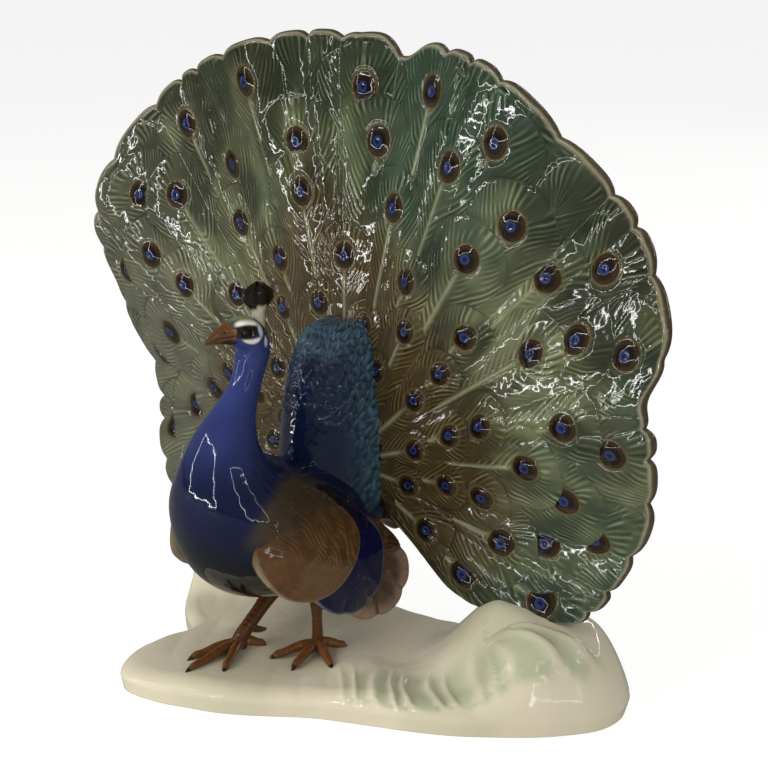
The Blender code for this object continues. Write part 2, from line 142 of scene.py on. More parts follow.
# The bird: sections along its spine from rump to bill, each as y, z, the lean from upright and the half
# width and height.
SPINE = (
    (-1.0, 55.0, -10.0, 7.0, 8.0),
    (-14.0, 55.0, -8.0, 18.0, 16.0),
    (-30.0, 54.0, -2.0, 25.0, 23.0),
    (-46.0, 56.0, 8.0, 27.5, 25.5),
    (-58.5, 61.0, 30.0, 27.5, 25.5),
    (-65.0, 71.5, 60.0, 24.0, 20.5),
    (-66.0, 82.0, 88.0, 17.5, 15.5),
    (-64.5, 92.0, 108.0, 11.8, 11.2),
    (-61.0, 100.0, 118.0, 8.0, 7.8),
    (-57.0, 107.0, 116.0, 5.6, 5.8),
    (-53.6, 114.0, 100.0, 5.2, 5.6),
    (-51.8, 120.8, 72.0, 5.9, 6.6),
    (-53.5, 126.0, 30.0, 6.5, 6.9),
    (-57.8, 128.2, 6.0, 5.6, 5.8),
    (-62.2, 128.4, -4.0, 3.5, 3.9),
    (-66.2, 127.8, -12.0, 2.0, 2.5),
    (-70.5, 126.2, -24.0, 0.4, 0.6),
)
NECK_FOOT = 9
NECK_TOP = 11
BROW = 13
HEAD_TURN = 12.0
EYE_SPOT = (4.9, 0.8, 0.9)
IRIS_RADIUS = 1.9

# The crest: a fan of short plumes on a stem.
CREST_STEM_RADIUS = 2.3
CREST_TOP = 145.5
CREST_TUFT = 8.5
CREST_WIDTH = 12.5
CREST_THICKNESS = 6.0
CREST_SETBACK = 2.5

# Each wing's tiers, hindmost first: centre y, centre z, half length, half height, droop, proud height,
# feathers round it, place of the first feather, and depth between the feathers' tips.
WING_TIERS = {
    "primaries": (-24.0, 40.0, 31.2, 17.5, 39.8, 1.2, 7, 36.0, 2.6),
    "coverts": (-39.5, 51.0, 30.7, 19.1, 52.3, 2.4, 9, 20.0, 0.9),
    "shoulder": (-52.0, 56.0, 21.0, 20.0, 8.0, 4.0, 6, 0.0, 0.0),
}
WING_HINGE = (-62.0, 62.0)
WING_TUCK = 2.8
WING_MIDDLE = (-38.0, 50.0)
WING_FALL_FORWARD = (5.5, 32.0)
WING_FALL_BEHIND = (2.0, 36.0)
WING_FALL_ABOVE = (12.0, 25.0)
WING_FALL_BELOW = (3.0, 27.0)
WING_REACH = 29.0
WING_THICKNESS = 6.0
WING_RINGS = 46
WING_SIDES = 168

# The column of short blue feathers that carries the train.
COLUMN_OFFSET = -2.0
COLUMN_HALF_WIDTH = 19.0
COLUMN_DEPTH = 33.0
COLUMN_BASE = 52.0
COLUMN_TOP = 124.0
COLUMN_GIRTH = 88.0
CURL_WIDTH = 3.9
CURL_LENGTH = 3.6

# The legs: each foot's place, the thigh above it and the reach of its toes.
ANKLE_HEIGHT = 13.5
THIGH_RADIUS = 5.0
TOE_RADIUS = 1.7
TOE_TAPER = (1.1, 1.1, 0.85, 0.75, 0.15)
FEET = (
    ((16.0, -37.5), (16.0, -38.0, 36.0), 2.1, ((9.5, -56.0), (22.5, -57.5), (32.5, -47.0), (23.5, -29.5))),
    ((-5.5, -55.5), (-4.0, -33.0, 34.0), 2.8, ((-3.5, -85.0), (-11.5, -76.5), (6.5, -75.5), (0.0, -48.0))),
)
SPUR_ROUTE = ((-5.0, -51.0, 16.0), (-5.0, -46.5, 14.0), (-5.0, -43.0, 13.0))
SPUR_RADIUS = 1.7

# The ground: a slab with a mound under each foot of the train.
GROUND_REACH = 119.0
SLAB_HEIGHT = 9.5
SLAB_LIP = 5.0
EDGE_START = 0.88
SLAB_CENTRE_Y = -22.0

# The pleats: a pitch in mm where they lie side by side and in degrees where they fan round their origin,
# down to a hem at a share of the outline. Part of their relief stands out from the ground's wall. The mesh
# is crowded towards them, at their place round the ground.
PLEAT_ORIGIN = (80.0, -20.0)
PLEAT_PITCH = 6.5
PLEAT_FAN_PITCH = 24.0
PLEAT_RELIEF = 1.3
LEDGE = 1.3
HEM_SHARE = 0.935
WALL_SHARE_OF_RELIEF = 0.75
CROWDING = 0.075
PLEAT_SIDE_OF_GROUND = 0.944

# Two mounds, as (x, y, height, half length, half depth), and the outline: the edge's reach at angles round
# the slab's centre.
MOUNDS = (
    (0.664, -0.025, 35.0, 0.360, 0.310),
    (-0.496, -0.025, 34.0, 0.290, 0.250),
)
GROUND_OUTLINE = (
    (-180.0, 0.580), (-162.0, 0.479), (-140.0, 0.395), (-128.0, 0.504), (-119.0, 0.597), (-110.0, 0.647),
    (-98.0, 0.613), (-85.0, 0.563), (-51.0, 0.504), (-30.0, 0.588), (-10.0, 0.798), (1.0, 0.950),
    (8.0, 1.030), (16.0, 1.035), (24.0, 0.950), (33.0, 0.689), (50.0, 0.420), (72.0, 0.311),
    (95.0, 0.294), (120.0, 0.370), (144.0, 0.605), (158.0, 0.723), (168.0, 0.706), (180.0, 0.580),
)

# The glaze: how sharp its highlights are, and the size and depth of the ripple in its surface.
GLAZE_ROUGHNESS = 0.06
GLAZE_IOR = 1.5
RIPPLE_SIZE = 5.0
RIPPLE_DEPTH = 0.2

# The studio, in metres and watts: windows seen only as bright frames, and soft lights that aren't mirrored.
FIGURE_MIDDLE = (0.0, 0.0, 0.1)
WINDOWS = (
    ("window_left", (-0.22, -0.62, 0.27), 0.64, 0.44, 0.0055, 1.9),
    ("window_right", (1.25, -0.55, 0.5), 0.8, 0.8, 0.01, 2.5),
    ("window_back", (0.2, 1.35, 0.8), 1.2, 0.8, 0.012, 3.5),
)
SOFT_LIGHTS = (
    ("sheer_curtain", (-0.55, -1.05, 0.62), (1.5, 1.0), 9.0),
    ("side_curtain", (1.25, -0.55, 0.5), (0.8, 0.8), 3.0),
    ("skylight", (0.0, 0.1, 1.5), (1.4, 1.2), 6.0),
)
FLOOR_HALF_SIZE = 20.0
FLOOR_GLOW_SEEN = 0.85
FLOOR_GLOW_ON_PORCELAIN = 0.45
ROOM_LIGHT = 0.16


# Shared shapes.

def smooth_table(table, x):
    """The values at x of a smooth curve through a short table of (place, value) pairs."""
    places, values = np.array(table, float).T
    x = np.clip(x, places[0], places[-1])
    i = np.clip(np.searchsorted(places, x, side="right") - 1, 0, len(places) - 2)
    before = np.maximum(i - 1, 0)
    after = np.minimum(i + 2, len(places) - 1)
    span = places[i + 1] - places[i]
    slope0 = (values[i + 1] - values[before]) / (places[i + 1] - places[before])
    slope1 = (values[after] - values[i]) / (places[after] - places[i])
    t = (x - places[i]) / span
    return (
        values[i] * (1 + 2 * t) * (1 - t) ** 2
        + slope0 * span * t * (1 - t) ** 2
        + values[i + 1] * t * t * (3 - 2 * t)
        + slope1 * span * t * t * (t - 1)
    )


def smooth_step(low, high, x):
    """0 below low, 1 above high, and a smooth rise between."""
    t = np.clip((x - low) / (high - low), 0.0, 1.0)
    return t * t * (3 - 2 * t)


def bell(x, width):
    """A soft ridge: 1 at 0, falling off within about the width."""
    return np.exp(-((x / width) ** 2))


def waves(turns):
    """A regular ripple from 0 to 1, with its crests at whole numbers."""
    return 0.5 + 0.5 * np.cos(2 * np.pi * turns)


def spot(x, y, half_x, half_y):
    """A soft round patch: 1 at its middle and 0 outside its half sizes."""
    return 1.0 - smooth_step(0.55, 1.0, np.hypot(x / half_x, y / half_y))


def wander(x, y, size, seed):
    """A smooth seeded unevenness between about -1 and 1, with features of the given size."""
    draw = np.random.default_rng(seed)
    total = np.zeros(np.broadcast(x, y).shape)
    for _ in range(6):
        heading = draw.uniform(0, 2 * math.pi)
        wave = 2 * math.pi / (size * draw.uniform(1.2, 3.0))
        phase = draw.uniform(0, 2 * math.pi)
        total = total + np.sin(wave * (x * math.cos(heading) + y * math.sin(heading)) + phase)
    return total / 3.2


def skin(name, along, around, place, material):
    """A closed piece. place(u, v) gives its points in millimetres and the marks that its material reads,
    with u from 0 to 1 along the piece and v from 0 to 1 round each section."""
    bm = bmesh.new()
    bmesh.ops.create_grid(bm, x_segments=along, y_segments=around, size=0.5)
    mesh = bpy.data.meshes.new(name)
    bm.to_mesh(mesh)
    bm.free()
    flat = np.empty(3 * len(mesh.vertices), np.float32)
    mesh.vertices.foreach_get("co", flat)
    grid = flat.reshape(-1, 3).astype(float)
    u = np.round((grid[:, 0] + 0.5) * along) / along
    v = np.round((grid[:, 1] + 0.5) * around) / around
    points, marks = place(u, v)
    mesh.vertices.foreach_set("co", (np.column_stack(points) * MM).astype(np.float32).ravel())
    for mark, values in marks.items():
        layer = mesh.attributes.new(mark, "FLOAT", "POINT")
        layer.data.foreach_set("value", np.broadcast_to(values, u.shape).astype(np.float32))
    bm = bmesh.new()
    bm.from_mesh(mesh)
    bmesh.ops.remove_doubles(bm, verts=bm.verts, dist=WELD)
    open_edges = [edge for edge in bm.edges if edge.is_boundary]
    for edge in open_edges:
        edge.smooth = False
    bmesh.ops.holes_fill(bm, edges=open_edges, sides=0)
    bmesh.ops.recalc_face_normals(bm, faces=bm.faces)
    if bm.calc_volume(signed=True) < 0.0:
        bmesh.ops.reverse_faces(bm, faces=bm.faces)
    bm.to_mesh(mesh)
    bm.free()
    return add_piece(name, mesh, material)


def add_piece(name, mesh, material):
    """A finished mesh as a piece of the figurine, in place of the plain solid."""
    mesh.polygons.foreach_set("use_smooth", [True] * len(mesh.polygons))
    mesh.materials.append(material)
    piece = bpy.data.objects.new(name, mesh)
    bpy.context.scene.collection.objects.link(piece)
    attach(piece, BODY)
    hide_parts(NODE)
    return piece


# Materials: one clear, glossy glaze over underglaze colours.

def linear(hex_colour):
    """An sRGB hex colour as linear RGBA."""
    channels = [int(hex_colour[k:k + 2], 16) / 255 for k in (1, 3, 5)]
    return tuple(c / 12.92 if c <= 0.04045 else ((c + 0.055) / 1.055) ** 2.4 for c in channels) + (1.0,)


def add_node(tree, kind, inputs=(), **settings):
    """A node of a kind, with its settings, and each input either linked or set."""
    node = tree.nodes.new(kind)
    for setting, value in settings.items():
        setattr(node, setting, value)
    for socket, value in dict(inputs).items():
        if isinstance(value, bpy.types.NodeSocket):
            tree.links.new(value, node.inputs[socket])
        else:
            node.inputs[socket].default_value = value
    return node


def painted(tree, base, layers):
    """Underglaze washes laid in turn over a base, each where a mark of the piece, or a socket, is strong."""
    colour = linear(base) if isinstance(base, str) else base
    for place, wash in layers:
        if isinstance(place, str):
            place = add_node(tree, "ShaderNodeAttribute", attribute_name=place).outputs["Fac"]
        wash = linear(wash) if isinstance(wash, str) else wash
        layer = add_node(tree, "ShaderNodeMix", {0: place, 6: colour, 7: wash}, data_type="RGBA")
        colour = layer.outputs[2]
    return colour


def glaze(name, paint, mottle_size=9.0, mottle=0.22, shine=0.5):
    """Fired glaze over painted porcelain: crisp highlights on a deep, slightly uneven colour.

    The washes pool unevenly by mottle, and the glaze's surface itself waves a little.
    """
    material = bpy.data.materials.new(name)
    material.use_nodes = True
    tree = material.node_tree
    shader = tree.nodes["Principled BSDF"]
    shader.inputs["Roughness"].default_value = GLAZE_ROUGHNESS
    shader.inputs["IOR"].default_value = GLAZE_IOR
    shader.inputs["Specular IOR Level"].default_value = shine
    shader.inputs["Metallic"].default_value = 0.0
    place = add_node(tree, "ShaderNodeTexCoord").outputs["Object"]
    pooling = add_node(
        tree, "ShaderNodeTexNoise",
        {"Vector": place, "Scale": 1000.0 / mottle_size, "Detail": 4.0, "Roughness": 0.6},
    ).outputs["Fac"]
    level = add_node(
        tree, "ShaderNodeMapRange",
        {"Value": pooling, "From Min": 0.25, "From Max": 0.75,
         "To Min": 1.0 - mottle, "To Max": 1.0 + mottle},
    ).outputs["Result"]
    shade = add_node(tree, "ShaderNodeHueSaturation", {"Color": paint(tree), "Value": level})
    tree.links.new(shade.outputs["Color"], shader.inputs["Base Color"])
    wave = add_node(
        tree, "ShaderNodeTexNoise", {"Vector": place, "Scale": 1000.0 / RIPPLE_SIZE, "Detail": 1.0}
    ).outputs["Fac"]
    bump = add_node(tree, "ShaderNodeBump", {"Height": wave, "Strength": 1.0, "Distance": RIPPLE_DEPTH * MM})
    tree.links.new(bump.outputs["Normal"], shader.inputs["Normal"])
    return material


def train_paint(tree):
    """Olive and teal between pale barbs and dark grooves, brown towards the hub, with dark ringed eyes."""
    washes = (
        ("sage", "#6b6f4f", "#959873", "#383d28"), ("shade", "#282b1e", "#50543a", "#11140c"),
        ("teal", "#2d4334", "#5f7a5f", "#111f16"), ("pale", "#5c5d4c", "#8f8d78", "#38392e"),
        ("brown", "#41361f", "#75653f", "#120d07"),
    )
    middle = painted(tree, "#484b33", [(mark, tint) for mark, tint, _, _ in washes])
    raised = painted(tree, "#7f825f", [(mark, tint) for mark, _, tint, _ in washes])
    sunk = painted(tree, "#1d231a", [(mark, tint) for mark, _, _, tint in washes])
    barb, grain, across, along = (
        add_node(tree, "ShaderNodeAttribute", attribute_name=mark).outputs["Fac"]
        for mark in ("barb", "grain", "eye_across", "eye_along")
    )
    turns = add_node(tree, "ShaderNodeMath", {0: barb, 1: 2 * math.pi}, operation="MULTIPLY").outputs[0]
    crest = add_node(tree, "ShaderNodeMath", {0: turns}, operation="COSINE").outputs[0]
    line, groove = (
        add_node(tree, "ShaderNodeMath", {
            0: add_node(tree, "ShaderNodeMapRange", {
                "Value": crest, "From Min": start, "From Max": end, "To Max": most,
            }).outputs[0],
            1: grain,
        }, operation="MULTIPLY").outputs[0]
        for start, end, most in ((0.25, 0.95, 1.0), (-0.35, -0.95, 0.85))
    )
    # The near-black wash laid here is painted shadow: the shade each overlying feather's edge casts on the
    # feather beneath it.
    barbs = painted(tree, middle, (
        (line, raised), (groove, sunk), ("shadowed_recess", "#151a11"), ("shaft", "#878a69"),
    ))
    place = add_node(tree, "ShaderNodeCombineXYZ", {0: across, 1: along}).outputs[0]
    from_eye = add_node(tree, "ShaderNodeVectorMath", {0: place}, operation="LENGTH").outputs["Value"]
    reach = add_node(tree, "ShaderNodeMath", {0: from_eye, 1: 0.5}, operation="MULTIPLY").outputs[0]
    ramp = add_node(tree, "ShaderNodeValToRGB", {"Fac": reach})
    stops = ramp.color_ramp.elements
    rings = (
        (0.0, "#080d26"), (0.06, "#0e1638"), (0.11, "#1c2856"), (0.17, "#2c3a62"), (0.205, "#13152a"),
        (0.24, "#130d09"), (0.36, "#1d130b"), (0.45, "#38270f"), (0.5, "#271b0e"), (0.57, "#574d32"),
    )
    for number, (position, tint) in enumerate(rings):
        stop = stops[number] if number < 2 else stops.new(position)
        stop.position = position
        stop.color = linear(tint)
    inside = add_node(
        tree, "ShaderNodeMapRange",
        {"Value": reach, "From Min": 0.51, "From Max": 0.72, "To Min": 1.0, "To Max": 0.0},
    ).outputs[0]
    return painted(tree, barbs, ((inside, ramp.outputs["Color"]), ("back", "#4c3b27"), ("rim", "#a39a80")))


def flat_paint(base, layers=()):
    """Plain washes over a base, for the pieces without eyes or barbs."""
    return lambda tree: painted(tree, base, layers)


# The train.

def lobe_angle(even):
    """Where a place stands round the fan, from where it would stand if all lobes were alike."""
    return even + LOBE_SHIFT * np.sin(np.radians(LOBE_SHIFT_WAVES * even))


def even_angle(angle):
    """The reverse of lobe_angle, found by closing in on it."""
    even = angle
    for _ in range(12):
        even = angle - LOBE_SHIFT * np.sin(np.radians(LOBE_SHIFT_WAVES * even))
    return even


def train_radius(angle):
    """The rim's radius, with a lobe at each feather's tip and a few deep notches."""
    from_top = np.abs(angle - 90.0)
    radius = TRAIN_REACH * np.where(
        angle < 90.0, smooth_table(TRAIN_LEFT_OUTLINE, from_top), smooth_table(TRAIN_RIGHT_OUTLINE, from_top)
    )
    lobe = 1.0 - np.abs(np.cos(np.pi * even_angle(angle) / LOBE_PITCH))
    swell = RIM_SWELL * np.sin(np.radians(RIM_SWELL_WAVES * angle))
    radius = radius + (swell - LOBE_DEPTH * lobe ** 2) * (1.0 - smooth_step(*LOBES_END, from_top))
    for notch in NOTCH_ANGLES:
        radius = radius - NOTCH_DEPTH * bell(angle - notch, NOTCH_WIDTH)
    return radius


def train_sway(share, angle):
    """How far the fan's middle surface stands behind its plane, from the broad folds."""
    return -FOLD_DEPTH * share ** 1.6 * np.cos(2 * np.pi * (angle - FOLD_CREST_ANGLE) / FOLD_PITCH)


def train_thickness(share):
    """The fan thins from its root to its rim."""
    return TRAIN_ROOT_THICKNESS + (TRAIN_RIM_THICKNESS - TRAIN_ROOT_THICKNESS) * share ** 0.7


def train_point(share, angle, side, raised=0.0):
    """Points of the fan: side is -1 on the front and 1 on the back; raised lifts the front's relief."""
    radius = share * train_radius(angle)
    flute = FLUTE_DEPTH * (np.abs(np.cos(np.pi * even_angle(angle) / LOBE_PITCH)) - 0.5) * share
    y = train_sway(share, angle) + side * (train_thickness(share) / 2 + flute * (side < 0) + raised)
    turn = np.radians(angle)
    return radius * np.cos(turn), y, TRAIN_ROOT_HEIGHT + radius * np.sin(turn)


def eye_places():
    """Every eye's row, share and angle, with a little seeded scatter."""
    scatter = random.Random(7)
    set_eyes = []
    for share, angles in EYE_ROWS:
        for angle in angles:
            radius = share * float(train_radius(angle))
            angle += math.degrees(EYE_SCATTER * scatter.uniform(-1, 1) / radius)
            share_here = share + EYE_ROW_SCATTER * scatter.uniform(-1, 1)
            place = Vector([float(c) for c in train_point(share_here, angle, -1.0)])
            if all((place - other).length > EYE_SPACING for other in set_eyes):
                set_eyes.append(place)
                yield share, share_here, angle


def train_feathers():
    """Each feather as (reach, angle, half width, tip, barb pitch, eye size), outermost first."""
    feathers = []
    lobes = int(TRAIN_HALF_SWEEP / LOBE_PITCH) + 1
    middle = round(90.0 / LOBE_PITCH)
    for lobe in range(middle - lobes, middle + lobes + 1):
        angle = float(lobe_angle(lobe * LOBE_PITCH))
        reach = RIM_FEATHER_SHARE * float(train_radius(angle))
        feathers.append((reach, angle) + RIM_FEATHER_SHAPE + (0.0,))
    eyes = list(eye_places())
    order = random.Random(11)
    for row, _ in EYE_ROWS:
        in_row = [eye for eye in eyes if eye[0] == row]
        order.shuffle(in_row)
        for _, share, angle in in_row:
            size = 0.78 + 0.22 * float(smooth_step(0.25, 0.8, share))
            reach = share * float(train_radius(angle))
            feathers.append((reach, angle) + FEATHER_SHAPES[row] + (size,))
    return feathers


def barb_phase(across, along, pitch):
    """Barbs leave the shaft almost square and curve towards the tip, and fan round it above the eye."""
    away = np.abs(across)
    slope = BARB_SLOPE + BARB_CURVE * away
    start = along - away * slope
    wedge = np.degrees(np.arctan2(1.0, slope) - np.arctan2(away, np.maximum(along, 1e-6)))
    return np.where(start > 0.0, wedge / BARB_FAN_STEP, start / pitch)


def train_relief(radius, angle):
    """The front's raised height and the marks for its paint, from feathers laid from the rim inwards."""
    turn = np.radians(angle)
    x, z = radius * np.cos(turn), radius * np.sin(turn)
    bend = wander(x, z, 24.0, 3)
    crook = wander(x, z, 8.0, 41)
    grain = wander(x, z, 5.5, 5)
    grip = smooth_step(-0.7, 0.6, grain) * (1.0 - 0.45 * smooth_step(150.0, 178.0, angle))
    loose = smooth_step(-0.7, 0.35, wander(x, z, 15.0, 9))
    streak = 1.7 * angle
    middle = bell(radius - 98.0, 26.0) * (1.0 - bell(angle - 90.0, 24.0))
    above = smooth_step(5.0, 30.0, angle) * smooth_step(155.0, 140.0, angle)
    high_rim = smooth_step(112.0, 150.0, radius) * above
    low = smooth_step(-10.0, -35.0, angle) * smooth_step(30.0, 60.0, radius)
    calm = 1.0 - 0.25 * bell(angle - 100.0, 26.0) * smooth_step(90.0, 125.0, radius)
    phase = radius / 3.0
    held = grip
    height = np.zeros_like(x)
    shadowed_recess = np.zeros_like(x)
    shaft = np.zeros_like(x)
    eye_across = np.full_like(x, NO_EYE)
    eye_along = np.full_like(x, NO_EYE)
    for number, (reach, centre, half_width, tip, pitch, eye_size) in enumerate(FEATHERS):
        near = math.radians(centre)
        along = x * math.cos(near) + z * math.sin(near) - reach
        across = -x * math.sin(near) + z * math.cos(near)
        width = half_width * (0.6 + 0.4 * np.exp(np.minimum(along, 0.0) / 26.0))
        rooted = along + FAN_SETBACK + 0.9 * crook
        barb = barb_phase(across + 1.3 * bend + 0.5 * crook, rooted, pitch)
        barb = barb + 0.37 * number + 0.15 * grain
        stroke = np.mod(437.585 * np.sin(12.9898 * np.round(barb) + 78.233 * number), 1.0)
        hold = grip * (0.2 + 0.8 * stroke)
        edge = 1.0 - np.hypot(across / width, np.maximum(along, 0.0) / tip)
        edge = np.where(along < -(1.0 - FEATHER_ROOT_SHARE) * reach - 6.0, -1.0, edge)
        over = edge > 0.0
        # Just outside each overlying feather's edge, the feather beneath sinks a little and, in patches,
        # takes painted shadow from that edge.
        outside = np.exp(np.minimum(edge, 0.0) * half_width / 0.8) * loose
        shadowed_recess = np.where(over, 0.0, np.maximum(shadowed_recess, outside))
        inset = np.clip(edge * half_width, 0.0, 30.0)
        dome = DOME_RELIEF * (1.0 - np.exp(-inset / 2.6)) * (0.35 + 0.65 * loose)
        quill = bell(across, SHAFT_HALF_WIDTH) * smooth_step(4.0, 9.0, -along)
        if eye_size:
            off_x = across / (0.5 * EYE_WIDTH * eye_size)
            off_z = along / (0.5 * EYE_LENGTH * eye_size)
        else:
            off_x, off_z = np.full_like(x, NO_EYE), np.full_like(x, NO_EYE)
            quill = quill * 0.5
        from_eye = np.hypot(off_x, off_z)
        line = waves(barb) ** 2
        strength = smooth_step(1.0, 1.6, from_eye) * (1.0 - quill) * hold
        boss = EYE_RELIEF * np.clip(1.0 - from_eye ** 2, 0.0, 1.0) ** 1.3
        dimple = 0.45 * bell(from_eye, 0.26)
        moat = 0.35 * bell(from_eye - 1.18, 0.16)
        here = calm * (dome + BARB_RELIEF * line * strength) + SHAFT_RELIEF * quill
        height = np.where(over, here + boss - dimple - moat, height)
        phase = np.where(over, barb, phase)
        held = np.where(over, hold, held)
        shaft = np.where(over, quill, shaft)
        eye_across = np.where(over, off_x, eye_across)
        eye_along = np.where(over, off_z, eye_along)
    brown = 1.0 - smooth_step(50.0, 92.0, radius - 26.0 * bell(angle - 100.0, 28.0) + 7.0 * bend)
    teal = np.maximum(
        bell(angle - 72.0, 20.0) * smooth_step(70.0, 110.0, radius),
        bell(angle + 18.0, 30.0) * smooth_step(60.0, 110.0, radius),
    )
    shade = wander(0.5 * radius, streak, 12.0, 31)
    marks = {
        "barb": phase,
        "grain": held,
        "shadowed_recess": 0.55 * shadowed_recess,
        "shaft": 0.8 * shaft,
        "eye_across": np.clip(eye_across, -NO_EYE, NO_EYE),
        "eye_along": np.clip(eye_along, -NO_EYE, NO_EYE),
        "brown": np.clip(brown, 0.0, 1.0) * (1.0 - 0.5 * low),
        "teal": 0.7 * np.clip(teal + 0.25 * bend, 0.0, 1.0),
        "pale": 0.8 * smooth_step(118.0, 165.0, angle),
        "shade": 0.85 * smooth_step(0.0, 1.1, shade + 1.4 * high_rim + 1.8 * low),
        "sage": 0.85 * smooth_step(0.0, 1.0, wander(0.4 * radius, streak, 9.0, 57) + 1.1 * middle - 0.3),
    }
    return height - 0.35 * shadowed_recess, marks


def train_sector(name, start, end, material):
    """One sector of the fan: rows up its front, round its rim, down its back and closed at the hub."""
    columns = round((end - start) / TRAIN_COLUMN_ANGLE)
    rows = TRAIN_FRONT_ROWS + TRAIN_RIM_ROWS + TRAIN_BACK_ROWS + 1
    front_end = TRAIN_FRONT_ROWS / rows
    back_start = (TRAIN_FRONT_ROWS + TRAIN_RIM_ROWS) / rows
    back_end = (rows - 1) / rows
    shoulder = RIM_SHOULDER_SHARE

    def place(u, v):
        angle = lobe_angle(start + (end - start) * u)
        on_front = v <= front_end
        on_back = v >= back_start
        bow = np.pi * np.clip((v - front_end) / (back_start - front_end), 0.0, 1.0)
        share = np.where(
            on_front, TRAIN_INNER_SHARE + (shoulder - TRAIN_INNER_SHARE) * v / front_end,
            np.where(
                on_back, shoulder - (shoulder - TRAIN_INNER_SHARE)
                * np.minimum((v - back_start) / (back_end - back_start), 1.0),
                shoulder + (1.0 - shoulder) * np.sin(bow),
            ),
        )
        closing = v > back_end + 0.5 / rows
        side = np.where(on_front | closing, -1.0, np.where(on_back, 1.0, -np.cos(bow)))
        relief, marks = train_relief(share * train_radius(angle), angle)
        front = smooth_step(0.0, -1.0, side)
        rib = waves(even_angle(angle) / LOBE_PITCH)
        raised = relief * front - 0.5 * front + (1.0 - front) * 0.8 * rib * share
        fade = smooth_step(TRAIN_INNER_SHARE, TRAIN_INNER_SHARE + 0.03, share)
        marks["back"] = smooth_step(-0.7, -0.2, side)
        marks["rim"] = 0.7 * bell(side + 0.8, 0.16) * ~(on_front | on_back)
        return train_point(share, angle, side, raised * fade), marks

    return skin(name, columns, rows, place, material)


def tail_place(u, v):
    """The round of tail feathers behind the train: a lobe, a quill and combed barbs for each."""
    brim = 0.88
    over = np.clip((u - brim) / (1.0 - brim), 0.0, 1.0)
    share = np.where(u <= brim, u / brim, 1.0 - 0.9 * smooth_step(0.4, 1.0, over))
    side = 1.0 - 1.2 * smooth_step(0.0, 0.5, over)
    angle = 360.0 * v
    count = TAIL_FEATHERS * v
    off = np.abs(count - np.round(count))
    below = 1.0 - smooth_step(*TAIL_SHORT_ANGLES, np.abs(angle - 270.0))
    reach = TAIL_REACH + (TAIL_REACH_BELOW - TAIL_REACH) * below - TAIL_LOBE_DEPTH * (2 * off) ** 2.5
    radius = share * reach
    comb = waves(radius / TAIL_BARB_PITCH - 5.0 * off + 0.3 * wander(radius, angle, 15.0, 19))
    quill = bell(off, 0.07)
    relief = share * (TAIL_QUILL * (1.0 - 2 * off) + 0.18 * comb + 0.25 * quill) * (over <= 0)
    behind = TAIL_PROUD + relief + train_thickness(radius / TRAIN_REACH) / 2
    y = train_sway(radius / TRAIN_REACH, angle) + side * behind
    turn = np.radians(angle)
    marks = {
        "comb": 0.5 * comb,
        "quill": 0.5 * quill,
        "gap": smooth_step(0.4, 0.5, off) * smooth_step(0.1, 0.4, share),
        "tip": 0.6 * smooth_step(0.85, 1.0, share),
    }
    return (radius * np.cos(turn), y, TRAIN_ROOT_HEIGHT + radius * np.sin(turn)), marks


# The bird.

def turn_head(x, y, z):
    """The head and crest turned a little to the bird's right, with the neck easing into the turn."""
    pivot = SPINE[NECK_TOP][0]
    angle = -math.radians(HEAD_TURN) * smooth_step(SPINE[NECK_FOOT][1], SPINE[NECK_TOP][1], z)
    dy = y - pivot
    return x * np.cos(angle) - dy * np.sin(angle), pivot + x * np.sin(angle) + dy * np.cos(angle), z


def spine_section(station):
    """The bird's section at a station along its spine: y, z, lean in radians and two half sizes."""
    y, z, lean, half_width, half_height = (
        smooth_table([(k, row[c]) for k, row in enumerate(SPINE)], station) for c in range(5)
    )
    return y, z, np.radians(lean), half_width, half_height


